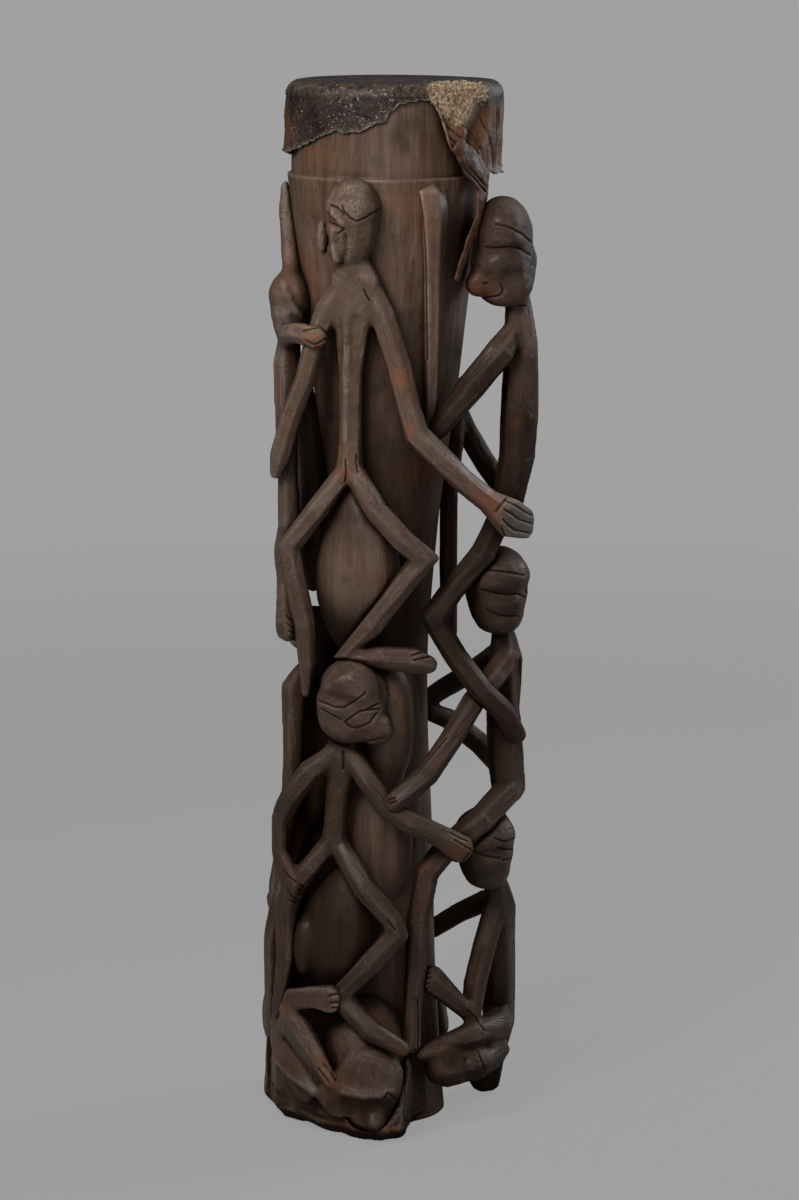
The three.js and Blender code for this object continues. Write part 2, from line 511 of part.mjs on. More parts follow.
// A lobe of the base: a section that stands on the floor, swept round the shell.
function lobe(points, grow = 0) {
  const rings = points.map(([around, topShare, outShare]) => {
    const top = topShare * drumHeight;
    const reach = (height) => cageRadius(around, height, outShare) + grow;
    const inner = waistRadius - shellWall;
    const section = [
      [inner, -grow], [inner, top + grow], [reach(top) - baseBevel - grow, top + grow],
      [reach(top), top - baseBevel], [reach(baseBevel), baseBevel], [reach(0) - baseBevel, -grow],
    ];
    return section.map(([radius, height]) => outward(around).multiplyScalar(radius).setZ(height));
  });
  const middleOf = (ring) =>
    ring.reduce((sum, point) => sum.add(point), new THREE.Vector3()).divideScalar(ring.length);
  return solidFrom(ringSurface(middleOf(rings[0]), rings, middleOf(rings[rings.length - 1])));
}

// The radius and height of the shell's outside, from the foot to the collar.
function shellOutline(grow = 0) {
  const foot = footOutlineShares.map(([up]) => up * waistHeight);
  const chest = chestOutlineShares.slice(1);
  const heights = [...foot, ...chest.map(([up]) => waistHeight + up * (shoulderHeight - waistHeight))];
  return [
    ...heights.map((height) => new THREE.Vector2(shellRadius(height) + grow, height)),
    new THREE.Vector2(rimRadius + grow, shoulderHeight + grow),
  ];
}

// The collar's outside from below the rounded rim to its flat top, which lies this far out and up.
function roundedRim(radius, top, rounding) {
  return [
    new THREE.Vector2(radius, top - rounding),
    new THREE.Vector2(radius - roundShare * rounding, top - roundShare * rounding),
    new THREE.Vector2(radius - rounding, top),
  ];
}

function lathe(profile, sides) {
  return solidFrom(new THREE.LatheGeometry(profile, sides).rotateX(Math.PI / 2));
}

// The shell, open from the foot to the rim.
function shell() {
  const top = drumHeight - hideThickness - seatGap;
  const outside = shellOutline();
  const bore = outside
    .filter(({ y }) => y < shoulderHeight)
    .map(({ x, y }) => new THREE.Vector2(x - shellWall, y));
  bore.push(new THREE.Vector2(rimRadius - shellWall, top));
  const rim = roundedRim(rimRadius, top, rimRounding);
  return lathe([...outside, ...rim, ...bore.reverse(), outside[0]], shellSides);
}

// The shell without its bore and a gap larger, also below the floor, which cuts the seats of what is
// carved on it.
function shellCutter() {
  const outside = shellOutline(seatGap);
  const top = drumHeight - hideThickness;
  const foot = [new THREE.Vector2(0, -seatGap), outside[0].clone().setY(-seatGap)];
  const rim = roundedRim(rimRadius + seatGap, top, rimRounding);
  return lathe([...foot, ...outside, ...rim, new THREE.Vector2(0, top)], shellSides);
}

// The hide: a flat head that bends over the rim, and a torn skirt that laps over the collar.
function hide(grow = 0) {
  const collar = drumHeight - shoulderHeight;
  const inside = rimRadius + seatGap - grow;
  const under = drumHeight - hideThickness - grow;
  const top = drumHeight + grow;
  const bend = rimRounding + hideThickness;
  const middle = (height) => new THREE.Vector3(0, 0, height);
  const rows = [];
  for (let side = 0; side < hideSides; side++) {
    const around = (side / hideSides) * 360 - 180;
    const [, drop, fold] = readTable(hideEdgeShares, around);
    const outside = inside + hideThickness + fold * hideFold + grow;
    const hem = inside + hideThickness + fold * hideFold * hemShare + grow;
    const edge = drumHeight - drop * collar - grow;
    const profile = [
      ...roundedRim(inside, under, rimRounding).reverse(),
      new THREE.Vector2(inside, edge),
      new THREE.Vector2(hem, edge),
      new THREE.Vector2(outside, (top - bend + edge) / 2),
      ...roundedRim(outside, top, bend),
    ];
    rows.push(profile.map(({ x, y }) => outward(around).multiplyScalar(x).setZ(y)));
  }
  const rings = rows[0].map((_, level) => rows.map((row) => row[level]));
  return solidFrom(ringSurface(middle(under), rings, middle(top)));
}

// The round log, which nothing carved from it can leave.
function log() {
  const tall = drumHeight + hideThickness;
  const blank = new THREE.CylinderGeometry(logHalfWidth, logHalfWidth, tall, logSides);
  blank.rotateX(Math.PI / 2).scale(1, logHalfDepth / logHalfWidth, 1);
  return solidFrom(blank.translate(boreOffset, 0, tall / 2));
}

// The largest body of a solid: what a cut has severed falls away.
function largest(solid) {
  const bodies = solid.decompose();
  return bodies.reduce((most, body) => (body.volume() > most.volume() ? body : most));
}

const strut = (grow) => limb(strutShares, grow, strutHalfWidth, strutHalfDepth);
const strip = (grow) => limb(hungStripShares, grow, stripHalfWidth, stripHalfThickness);
const upperSwelling = (grow) => swelling(upperSwellingShares, upperSwellingHalfHeight, grow);
const lowerSwelling = (grow) => swelling(lowerSwellingShares, lowerSwellingHalfHeight, grow);

// Each carved piece, in the order in which one gives way to another: its name, its solid and its
// colour
const carvings = [
  ["hide_strip", strip, "#4a3a30"],
  ["front_strut", strut, "#54453a"],
  ["front_upper_figure", (grow) => figure(frontUpperShares, grow), "#5a4b42"],
  ["front_middle_figure", (grow) => figure(frontMiddleShares, grow), "#594a41"],
  ["front_upper_swelling", upperSwelling, "#4c3e36"],
  ["front_lower_swelling", lowerSwelling, "#4b3d35"],
  ["front_lower_figure", (grow) => figure(frontLowerShares, grow), "#56473e"],
  ["right_upper_figure", (grow) => figure(rightUpperShares, grow), "#52443b"],
  ["right_middle_figure", (grow) => figure(rightMiddleShares, grow), "#4f4138"],
  ["right_lower_figure", (grow) => figure(rightLowerShares, grow), "#4e4037"],
  ["left_upper_figure", (grow) => figure(leftUpperShares, grow), "#55473e"],
  ["left_middle_figure", (grow) => figure(leftMiddleShares, grow), "#52443b"],
  ["left_lower_figure", (grow) => figure(leftLowerShares, grow), "#504239"],
  ["back_upper_figure", (grow) => figure(backUpperShares, grow), "#55473e"],
  ["back_middle_figure", (grow) => figure(backMiddleShares, grow), "#52443b"],
  ["back_lower_figure", (grow) => figure(backLowerShares, grow), "#504239"],
  ["front_base_lobe", (grow) => lobe(frontLobeShares, grow), "#5b4638"],
  ["left_base_lobe", (grow) => lobe(leftLobeShares, grow), "#574437"],
  ["back_base_lobe", (grow) => lobe(backLobeShares, grow), "#574437"],
];

const drum = new THREE.Group();
drum.position.x = -boreOffset;

function addPiece(name, solid, color, roughness = 0.7) {
  const material = new THREE.MeshStandardMaterial({ color, roughness, metalness: 0 });
  const mesh = new THREE.Mesh(geometryFrom(solid), material);
  mesh.name = name;
  drum.add(mesh);
}

addPiece("drum_shell", shell(), "#54463c");
addPiece("drum_hide", hide(), "#3a302b", 0.85);

// Each carving is cut clear of the shell, the hide and the carvings before it, and stays in the log.
const blank = log();
let taken = shellCutter().add(hide(seatGap));
for (const [name, solid, color] of carvings) {
  addPiece(name, largest(solid(0).intersect(blank).subtract(taken)), color);
  taken = taken.add(solid(seatGap));
}

export default drum;
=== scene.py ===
import math

import bpy
import numpy as np
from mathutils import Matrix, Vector, noise
from mathutils.bvhtree import BVHTree


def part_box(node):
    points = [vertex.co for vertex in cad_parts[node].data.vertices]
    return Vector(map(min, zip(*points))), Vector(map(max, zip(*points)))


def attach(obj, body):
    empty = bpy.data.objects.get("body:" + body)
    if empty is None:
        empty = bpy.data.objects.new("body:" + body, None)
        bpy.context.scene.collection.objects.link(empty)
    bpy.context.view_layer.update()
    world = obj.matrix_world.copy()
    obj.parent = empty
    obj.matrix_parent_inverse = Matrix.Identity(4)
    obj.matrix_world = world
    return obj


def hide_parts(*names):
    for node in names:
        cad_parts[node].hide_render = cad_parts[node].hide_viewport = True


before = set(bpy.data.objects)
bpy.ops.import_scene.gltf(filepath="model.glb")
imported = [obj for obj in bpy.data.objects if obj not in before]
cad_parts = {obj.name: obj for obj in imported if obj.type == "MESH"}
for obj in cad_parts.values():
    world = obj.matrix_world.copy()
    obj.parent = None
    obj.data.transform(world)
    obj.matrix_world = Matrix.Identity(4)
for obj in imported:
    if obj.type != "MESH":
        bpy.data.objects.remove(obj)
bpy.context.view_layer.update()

# The room: a plain grey floor that fades into a surround of the same grey, one soft light from the left
# front, a broad weak one from the front, and a narrow one from behind on the right that draws the edge
# of the right-hand figures. The camera stands where the photograph was taken from.
room_grey = (0.362, 0.3565, 0.3585, 1)
sky_light = (0.126, 0.133, 0.140, 1)
room_glow = 0.82
room_halfwidth = 14.0
fade_start, fade_end = 1.6, 4.5
camera_distance = 4.17
camera_height = 1.517
camera_pitch = 11.63
camera_lens = 102.75
camera_sensor = 36.0
picture_width, picture_height = 799, 1200
# Each light: its place, what it points at, its width and height, its watts and its tint
softboxes = {
    "key": ((-0.86, -1.40, 2.20), (0, 0, 1.0), (0.75, 1.0), 46, (1.0, 0.96, 0.91)),
    "fill": ((0.5, -3.2, 1.2), (0, 0, 0.6), (1.6, 2.0), 15, (1.0, 0.97, 0.94)),
    "edge": ((1.9, 1.0, 1.9), (0, 0, 0.8), (0.5, 1.8), 42, (0.93, 0.97, 1.0)),
}


def make_object(name, points, faces):
    mesh = bpy.data.meshes.new(name)
    mesh.from_pydata([tuple(point) for point in points], [], [tuple(face) for face in faces])
    mesh.update()
    made = bpy.data.objects.new(name, mesh)
    bpy.context.scene.collection.objects.link(made)
    mesh.polygons.foreach_set("use_smooth", [True] * len(mesh.polygons))
    return made


def grid_faces(rows, columns, closed):
    """Faces between rows of points; a closed grid joins its last column to its first."""
    faces = []
    for row in range(rows - 1):
        for column in range(columns if closed else columns - 1):
            after = (column + 1) % columns
            low, high = row * columns, (row + 1) * columns
            faces.append((low + column, low + after, high + after, high + column))
    return faces


def room_material():
    """Grey that shows shadows near the drum and, to the camera alone, an even glow away from it."""
    material = bpy.data.materials.new("room_grey")
    material.use_nodes = True
    nodes, links = material.node_tree.nodes, material.node_tree.links
    nodes.clear()
    diffuse = nodes.new("ShaderNodeBsdfDiffuse")
    diffuse.inputs["Color"].default_value = room_grey
    glow = nodes.new("ShaderNodeEmission")
    glow.inputs["Color"].default_value = room_grey
    place = nodes.new("ShaderNodeTexCoord")
    reach = nodes.new("ShaderNodeVectorMath")
    reach.operation = "LENGTH"
    fade = nodes.new("ShaderNodeMapRange")
    fade.interpolation_type = "SMOOTHSTEP"
    for socket, value in zip(fade.inputs[1:5], (fade_start, fade_end, room_glow, 1)):
        socket.default_value = value
    path = nodes.new("ShaderNodeLightPath")
    share = nodes.new("ShaderNodeMath")
    share.operation = "MULTIPLY"
    mixed = nodes.new("ShaderNodeMixShader")
    output = nodes.new("ShaderNodeOutputMaterial")
    links.new(place.outputs["Object"], reach.inputs[0])
    links.new(reach.outputs["Value"], fade.inputs[0])
    links.new(path.outputs["Is Camera Ray"], share.inputs[0])
    links.new(fade.outputs[0], share.inputs[1])
    links.new(share.outputs[0], mixed.inputs["Fac"])
    links.new(diffuse.outputs[0], mixed.inputs[1])
    links.new(glow.outputs[0], mixed.inputs[2])
    links.new(mixed.outputs[0], output.inputs["Surface"])
    return material


room_corners = [(x * room_halfwidth, y * room_halfwidth, 0) for y in (-1, 1) for x in (-1, 1)]
room = make_object("room", room_corners, grid_faces(2, 2, False))
room.data.materials.append(room_material())

scene = bpy.context.scene
scene.view_settings.view_transform = "Standard"
scene.world = bpy.data.worlds.new("studio")
scene.world.use_nodes = True
sky_nodes, sky_links = scene.world.node_tree.nodes, scene.world.node_tree.links
sky_path = sky_nodes.new("ShaderNodeLightPath")
sky_color = sky_nodes.new("ShaderNodeMix")
sky_color.data_type = "RGBA"
sky_color.inputs[6].default_value = sky_light
sky_color.inputs[7].default_value = room_grey
sky_links.new(sky_path.outputs["Is Camera Ray"], sky_color.inputs[0])
sky_links.new(sky_color.outputs[2], sky_nodes["Background"].inputs["Color"])


def softbox(name, place, aim, size, watts, tint):
    light = bpy.data.lights.new(name, "AREA")
    light.shape = "RECTANGLE"
    light.size, light.size_y = size
    light.energy = watts
    light.color = tint
    lamp = bpy.data.objects.new(name, light)
    lamp.location = place
    lamp.rotation_euler = (Vector(aim) - Vector(place)).to_track_quat("-Z", "Y").to_euler()
    scene.collection.objects.link(lamp)


for lamp_name, lamp_values in softboxes.items():
    softbox(lamp_name, *lamp_values)

lens = bpy.data.cameras.new("camera")
lens.lens = camera_lens
lens.sensor_width = camera_sensor
camera = bpy.data.objects.new("camera", lens)
camera.location = (0, -camera_distance, camera_height)
camera.rotation_euler = (math.radians(90 - camera_pitch), 0, 0)
scene.collection.objects.link(camera)
scene.camera = camera


# The wood: one log of a heavy brown hardwood, cut with adze and knife, rubbed and handled until its
# high places are grey and smooth; that lighter colour on the ridges is also a painted highlight. The
# hollows, creases and scored lines are painted dark as shade, the lower parts and the right figures are
# painted darker as shade and dark staining, and where hands held it or it was knocked the wood shows
# orange-brown.
wood_deep = (0.0105, 0.0048, 0.0026, 1)
wood_brown = (0.062, 0.031, 0.018, 1)
wood_pale = (0.132, 0.079, 0.053, 1)
wood_grey = (0.118, 0.087, 0.070, 1)
wood_orange = (0.185, 0.068, 0.027, 1)
# A lighter colour for raised ridges: partly their rubbing, partly a painted highlight
wood_rubbed_highlight = (0.21, 0.158, 0.124, 1)
# How far the painted shade in hollows reaches, wide and narrow
wide_hollow = 0.14
narrow_hollow = 0.038
fibre_depth = 0.0006
knife_depth = 0.0022


class Shader:
    """A material whose nodes are added and joined one call at a time."""

    def __init__(self, name):
        self.material = bpy.data.materials.new(name)
        self.material.use_nodes = True
        self.tree = self.material.node_tree
        self.surface = self.tree.nodes["Principled BSDF"]

    def add(self, kind, settings=None, **inputs):
        node = self.tree.nodes.new("ShaderNode" + kind)
        for key, value in (settings or {}).items():
            setattr(node, key, value)
        for key, value in inputs.items():
            socket = node.inputs[int(key[1:])] if key[0] == "i" and key[1:].isdigit() else node.inputs[key]
            if isinstance(value, bpy.types.NodeSocket):
                self.tree.links.new(value, socket)
            else:
                socket.default_value = value
        return node

    def attribute(self, name, output="Fac"):
        return self.add("Attribute", {"attribute_name": name}).outputs[output]

    def noise(self, place, scale, detail=3.0, rough=0.55):
        return self.add("TexNoise", Vector=place, Scale=scale, Detail=detail, Roughness=rough).outputs[0]

    def ramp(self, value, low, high, from_value=0.0, to_value=1.0):
        node = self.add("MapRange", {"interpolation_type": "SMOOTHSTEP"}, i0=value, i1=low, i2=high,
                        i3=from_value, i4=to_value)
        return node.outputs[0]

    def calc(self, operation, first, second):
        return self.add("Math", {"operation": operation}, i0=first, i1=second).outputs[0]

    def mix(self, share, first, second):
        return self.add("Mix", {"data_type": "RGBA"}, i0=share, i6=first, i7=second).outputs[2]

    def bump(self, height, strength, depth, normal=None):
        inputs = {"Height": height, "Strength": strength, "Distance": depth}
        if normal is not None:
            inputs["Normal"] = normal
        return self.add("Bump", **inputs).outputs[0]

    def finish(self, color, roughness, normal, sheen=None):
        if sheen is not None:
            self.tree.links.new(sheen, self.surface.inputs["Specular IOR Level"])
        self.tree.links.new(color, self.surface.inputs["Base Color"])
        self.tree.links.new(roughness, self.surface.inputs["Roughness"])
        self.tree.links.new(normal, self.surface.inputs["Normal"])
        return self.material


def wood(name, pale, grey, orange, hollow_shade=0.93):
    """The log's wood, by its shares of pale, grey and orange, and how dark the painted shade in its hollows
    goes.
    """
    shader = Shader(name)
    grain = shader.attribute("grain", "Vector")
    place = shader.add("TexCoord").outputs["Object"]
    fibres = shader.noise(grain, 520, 4)
    streaks = shader.noise(grain, 95, 3)
    patches = shader.noise(place, 16, 3)
    stains = shader.noise(place, 7.5, 4, 0.6)
    knife = shader.noise(grain, 150, 2)
    edge = shader.attribute("edge")
    worn = shader.attribute("worn")
    color = shader.mix(shader.ramp(streaks, 0.25, 0.75), wood_brown, wood_pale)
    color = shader.mix(shader.ramp(patches, 0.62, 0.3, 0, 1 - pale), color, wood_brown)
    color = shader.mix(shader.ramp(stains, 0.45, 0.68, 0, grey), color, wood_grey)
    color = shader.mix(shader.ramp(fibres, 0.5, 0.32, 0, 0.32), color, wood_deep)
    color = shader.mix(shader.ramp(shader.noise(place, 19, 4, 0.65), 0.54, 0.72, 0, 0.5), color, wood_deep)
    # Raised ridges are painted lighter: partly real rubbing, partly a painted highlight
    rubbed_and_highlight = shader.calc("MULTIPLY", shader.ramp(edge, 0.15, 0.9), shader.ramp(patches, 0.3, 0.6, 0.25, 0.85))
    color = shader.mix(rubbed_and_highlight, color, wood_rubbed_highlight)
    ruddy = shader.ramp(shader.noise(place, 11, 3), 0.52, 0.72, 0, orange)
    bare = shader.calc("MULTIPLY", worn, shader.ramp(streaks, 0.3, 0.6, 0.45, 1))
    ruddy = shader.calc("MAXIMUM", ruddy, bare)
    color = shader.mix(ruddy, color, wood_orange)
    # Painted shade with some real dark staining: darker by the height tables and round the given dark places
    stain_and_shade_share = shader.calc("MULTIPLY", shader.attribute("stain_and_shade"), shader.ramp(stains, 0.25, 0.6, 0.7, 1))
    color = shader.mix(stain_and_shade_share, color, wood_deep)
    # Painted shade: dark where little open air reaches, in the concave creases and along the scored lines.
    wide_air = shader.add("AmbientOcclusion", {"samples": 8}, Distance=wide_hollow).outputs["AO"]
    near_air = shader.add("AmbientOcclusion", {"samples": 6}, Distance=narrow_hollow).outputs["AO"]
    hollow = shader.ramp(wide_air, 0.86, 0.26, 0, hollow_shade)
    hollow = shader.calc("MAXIMUM", hollow, shader.ramp(near_air, 0.7, 0.28, 0, 0.92))
    hollow = shader.calc("MAXIMUM", hollow, shader.ramp(edge, -0.2, -1.0, 0, 0.8))
    hollow = shader.calc("MAXIMUM", hollow, shader.ramp(shader.attribute("cut"), 0.25, 0.9, 0, 0.95))
    color = shader.mix(hollow, color, wood_deep)
    uneven = shader.calc("ADD", patches, shader.calc("MULTIPLY", fibres, 0.35))
    rough = shader.ramp(uneven, 0.4, 0.95, 0.33, 0.52)
    rough = shader.calc("ADD", rough, shader.calc("MULTIPLY", hollow, 0.3))
    normal = shader.bump(fibres, 0.35, fibre_depth)
    normal = shader.bump(knife, 0.5, knife_depth, normal)
    sheen = shader.ramp(shader.calc("ADD", hollow, shader.calc("MULTIPLY", stain_and_shade_share, 0.7)), 0, 0.8, 0.45, 0.06)
    return shader.finish(color, rough, normal, sheen)


# The shell: the hollow hourglass in the middle of the log, with a plain collar cut in above its
# shoulder line and two long swells left on its front. It is hollowed from both ends; the adze has left
# long shallow scoops on the outside, and the collar is scraped smooth.
shell_low, shell_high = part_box("drum_shell")
bore_x = (shell_low.x + shell_high.x) / 2
floor_z = 0.0
rim_z = shell_high.z
shell_sides = 240
shell_rings = 400
bore_rings = 44
scoop_width = 0.030
scoop_height = 0.120
scoop_depth = 0.0011
scoop_fade = 0.02
scoop_reach = 0.1
wave_depth = 0.0007
collar_dent, collar_wave = 0.35, 0.4
collar_step = 0.003
collar_least = 0.03
shoulder_ease = 0.0006
shoulder_keep = 0.004
shell_rounds = 14
least_wall = 0.005
stroke_jump = 0.014
log_grain = (1, 1, 0.07)
shell_line_width, shell_line_depth = 0.0022, 0.0007
shell_edge_rounds, shell_edge_size = 3, 0.003
shell_cut_share = 0.4
shell_dark_share = 0.6
shell_worn = [((437, 425), 0.03), ((420, 470), 0.02)]
# Painted shade with some dark staining, by height: darker through the shell's middle
shell_stain_and_shade = (
    (0, 0.1), (0.5, 0.1), (0.58, 0.75), (0.86, 0.7), (0.96, 0.2), (1.04, 0), (1.168, 0), (1.17, 0.15),
)
# Dark spots on the collar, painted into the same darkening
shell_dark = [((398, 137), 0.016), ((408, 126), 0.016), ((404, 146), 0.012)]
shell_swells = (
    (0.026, 0.012, ((386, 680), (386, 705), (386, 730), (385, 750))),
    (0.012, -0.006, ((416, 670), (416, 710), (413, 750), (404, 785))),
)
shell_lines = (
    ((380, 668), (379, 700), (380, 745), (385, 790), (398, 772), (409, 740), (411, 700), (412, 670)),
    ((378, 850), (377, 875), (380, 902)), ((403, 848), (404, 880), (401, 905)),
    ((413, 470), (417, 500), (418, 540), (415, 575)), ((400, 915), (398, 960), (402, 1000)),
    ((290, 171), (320, 175), (360, 177), (400, 178), (440, 177), (470, 174)),
)
# The long swells: the pixel where each sits, how far it is shifted, and its three half sizes
shell_forms = {
    "shell_panel": ((387, 726), (0, 0, 0), (0.033, 0.040, 0.086)),
    "shell_flank": ((376, 838), (0, 0, 0), (0.046, 0.022, 0.090)),
}
swell_grid = (60, 80)
swell_lumps = (0.0015, 0.05)


def shell_outline():
    """Heights of the shell's rings with their outer and inner radius."""
    points = np.array([vertex.co[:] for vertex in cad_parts["drum_shell"].data.vertices])
    radii = np.hypot(points[:, 0] - bore_x, points[:, 1])
    levels = np.unique(np.round(points[:, 2], 4))
    rings = [(level, radii[np.abs(points[:, 2] - level) < 2e-4]) for level in levels]
    return [(level, ring.max(), ring.min()) for level, ring in rings]


def scoops(around, up):
    """How deep the adze has cut at a place on the shell."""
    cell = noise.voronoi(Vector((around / scoop_width, up / scoop_height, 0)))[0]
    return scoop_depth * (cell[0] ** 2 - 0.25)


def shell_surface():
    """Heights and radii of the outside, smoothed below the shoulder line, and that line's height."""
    levels = shell_outline()
    heights = [level for level, _, _ in levels]
    outer = [far for _, far, _ in levels]
    steps = [i for i in range(len(levels) - 1) if outer[i + 1] < outer[i] - collar_step]
    collar_at = max(i for i in steps if heights[i] < rim_z - collar_least)
    collar_z = heights[collar_at]
    rings = []
    for i in range(shell_rings + 1):
        z = rim_z * i / shell_rings
        part = slice(0, collar_at + 1) if z <= collar_z else slice(collar_at + 1, None)
        rings.append((z, np.interp(z, heights[part], outer[part])))
    below = [ring for ring in rings if ring[0] <= collar_z]
    above = [ring for ring in rings if ring[0] > collar_z]
    shoulder = [(collar_z + shoulder_ease, outer[collar_at] - 2 * shoulder_ease),
                (collar_z + 2 * shoulder_ease, above[0][1])]
    rings = below + shoulder + above
    zs = np.array([z for z, _ in rings])
    rs = np.array([r for _, r in rings])
    smooth = rs.copy()
    for _ in range(shell_rounds):
        inner = (smooth[:-2] + smooth[2:]) / 2
        free = zs[1:-1] < collar_z - shoulder_keep
        smooth[1:-1][free] = inner[free]
    return list(zip(zs, smooth)), collar_z


def shell_mesh():
    outside, collar_z = shell_surface()
    points = []
    for z, radius in outside:
        for i in range(shell_sides):
            turn = 2 * math.pi * i / shell_sides
            dent = scoops(turn * scoop_reach, z)
            dent *= min(1.0, abs(z - collar_z) / scoop_fade) * min(1.0, z / scoop_fade + 0.2)
            wave = wave_depth * noise.noise(Vector((math.cos(turn) * 3, math.sin(turn) * 3, z * 9)))
            if z >= collar_z:
                dent, wave = dent * collar_dent, wave * collar_wave
            reach = radius - dent + wave
            points.append((bore_x + reach * math.sin(turn), -reach * math.cos(turn), z))
    rows = len(outside)
    bored = [(level, near) for level, far, near in shell_outline() if far - near > least_wall]
    heights = [level for level, _ in bored]
    inner = [near for _, near in bored]
    for i in range(bore_rings + 1):
        z = rim_z - (rim_z - floor_z) * i / bore_rings
        radius = np.interp(z, heights, inner)
        for side in range(shell_sides):
            turn = 2 * math.pi * side / shell_sides
            points.append((bore_x + radius * math.sin(turn), -radius * math.cos(turn), z))
    rows += bore_rings + 1
    faces = grid_faces(rows, shell_sides, True)
    last = (rows - 1) * shell_sides
    for i in range(shell_sides):
        after = (i + 1) % shell_sides
        faces.append((last + i, last + after, after, i))
    return points, faces


def add_attribute(thing, name, values):
    kind = "FLOAT_VECTOR" if np.ndim(values) == 2 else "FLOAT"
    layer = thing.data.attributes.new(name, kind, "POINT")
    socket = "vector" if kind == "FLOAT_VECTOR" else "value"
    layer.data.foreach_set(socket, np.ravel(values).astype(np.float32))


def coordinates(thing):
    flat = np.zeros(len(thing.data.vertices) * 3, np.float32)
    thing.data.vertices.foreach_get("co", flat)
    return flat.reshape(-1, 3).astype(float)


def set_coordinates(thing, points):
    thing.data.vertices.foreach_set("co", points.astype(np.float32).ravel())
    thing.data.update()


def edge_pairs(thing):
    flat = np.zeros(len(thing.data.edges) * 2, np.int32)
    thing.data.edges.foreach_get("vertices", flat)
    return flat.reshape(-1, 2)


def averaged(points, pairs):
    """Each point moved to the middle of the points that it shares an edge with."""
    ends, others = pairs.ravel(), pairs[:, ::-1].ravel()
    count = np.maximum(np.bincount(ends, minlength=len(points)), 1)
    return np.stack([np.bincount(ends, points[others, axis], len(points)) / count for axis in range(3)], 1)


def normals_of(thing):
    flat = np.zeros(len(thing.data.vertices) * 3, np.float32)
    thing.data.vertex_normals.foreach_get("vector", flat)
    return flat.reshape(-1, 3).astype(float)


def edge_relief(thing, steps, size):
    """How far each point stands out from the surface round it, in units of size."""
    points, pairs = coordinates(thing), edge_pairs(thing)
    soft = points.copy()
    for _ in range(steps):
        soft = averaged(soft, pairs)
    return np.clip(((points - soft) * normals_of(thing)).sum(1) / size, -2, 2)


def sight(spot):
    """The line from the camera through a pixel of the photograph."""
    right = (spot[0] - picture_width / 2) / picture_height * camera_sensor / camera_lens
    up = (picture_height / 2 - spot[1]) / picture_height * camera_sensor / camera_lens
    pitch = math.radians(camera_pitch)
    ahead = Vector((0, math.cos(pitch), -math.sin(pitch)))
    above = Vector((0, math.sin(pitch), math.cos(pitch)))
    return camera.location.copy(), (ahead + Vector((right, 0, 0)) + above * up).normalized()


def corners_and_faces(thing):
    points = [vertex.co.copy() for vertex in thing.data.vertices]
    return points, [list(face.vertices) for face in thing.data.polygons]


def tree_of(thing):
    """The piece's surface, to be met by lines of sight."""
    return BVHTree.FromPolygons(*corners_and_faces(thing))


def seen(tree, spots):
    """Where the lines of sight through these pixels meet the surface."""
    met = [tree.ray_cast(*sight(spot))[0] for spot in spots]
    return [np.array(point) for point in met if point is not None]


def along_stroke(tree, points, stroke, width):
    """How near each point lies to a stroke that is drawn over the surface in the photograph."""
    spots = [stroke[0]]
    for start, end in zip(stroke, stroke[1:]):
        steps = max(1, round(math.dist(start, end) / 2))
        spots += [tuple(np.array(start) + (np.array(end) - start) * i / steps) for i in range(1, steps + 1)]
    route = seen(tree, spots)
    near = np.zeros(len(points))
    for start, end in zip(route, route[1:]):
        span = end - start
        if np.linalg.norm(span) > stroke_jump:
            continue
        share = np.clip(((points - start) @ span) / max(span @ span, 1e-12), 0, 1)
        gap = np.linalg.norm(points - start - share[:, None] * span, axis=1)
        near = np.maximum(near, np.exp(-(gap / width) ** 2))
    return near


def score(thing, strokes, width, depth):
    """Cuts lines into a piece and returns how far each point lies in one."""
    tree = tree_of(thing)
    points, normals = coordinates(thing), normals_of(thing)
    cut = np.zeros(len(points))
    for stroke in strokes:
        cut = np.maximum(cut, along_stroke(tree, points, stroke, width))
    set_coordinates(thing, points - normals * (depth * cut)[:, None])
    return cut


def shape(thing, rows):
    """Raises a piece along strokes, each with its width and height; a height below zero is a hollow."""
    if not rows:
        return
    tree = tree_of(thing)
    points, normals = coordinates(thing), normals_of(thing)
    rise = np.zeros(len(points))
    for width, height, stroke in rows:
        rise += height * along_stroke(tree, points, stroke, width)
    set_coordinates(thing, points + normals * rise[:, None])


def spot_shares(thing, spots):
    """Shares round the places that these pixels show, each fading over its size: bare worn wood, dark places
    or hair.
    """
    tree = tree_of(thing)
    points = coordinates(thing)
    worn = np.zeros(len(points))
    for spot, size in spots:
        for place in seen(tree, [spot]):
            worn = np.maximum(worn, np.exp(-((points - place) ** 2).sum(1) / size ** 2))
    return worn


def along_log(points):
    """Coordinates that run slowly up the log, so that its fibres stand upright."""
    return points * np.array(log_grain)


def lumps(thing, depth, size):
    """Uneven swells all over a piece."""
    points, normals = coordinates(thing), normals_of(thing)
    swell = np.array([noise.fractal(Vector(place) / size, 1.0, 2.0, 3) for place in points])
    set_coordinates(thing, points + normals * (depth * swell)[:, None])


def ball(place, size, rows=13, columns=20):
    """A rounded form: its middle and its three half sizes."""
    points = []
    for row in range(rows):
        rise = math.pi * (row + 0.5) / rows
        for column in range(columns):
            turn = 2 * math.pi * column / columns
            points.append((place[0] + size[0] * math.sin(rise) * math.cos(turn),
                           place[1] + size[1] * math.sin(rise) * math.sin(turn),
                           place[2] - size[2] * math.cos(rise)))
    ends = [tuple(reversed(range(columns))), tuple(range((rows - 1) * columns, rows * columns))]
    return points, grid_faces(rows, columns, True) + ends


def ball_at(tree, spot, shift, size, *grid):
    """A rounded form, shifted from where the line of sight through a pixel meets the surface."""
    return ball(seen(tree, [spot])[0] + np.array(shift), size, *grid)


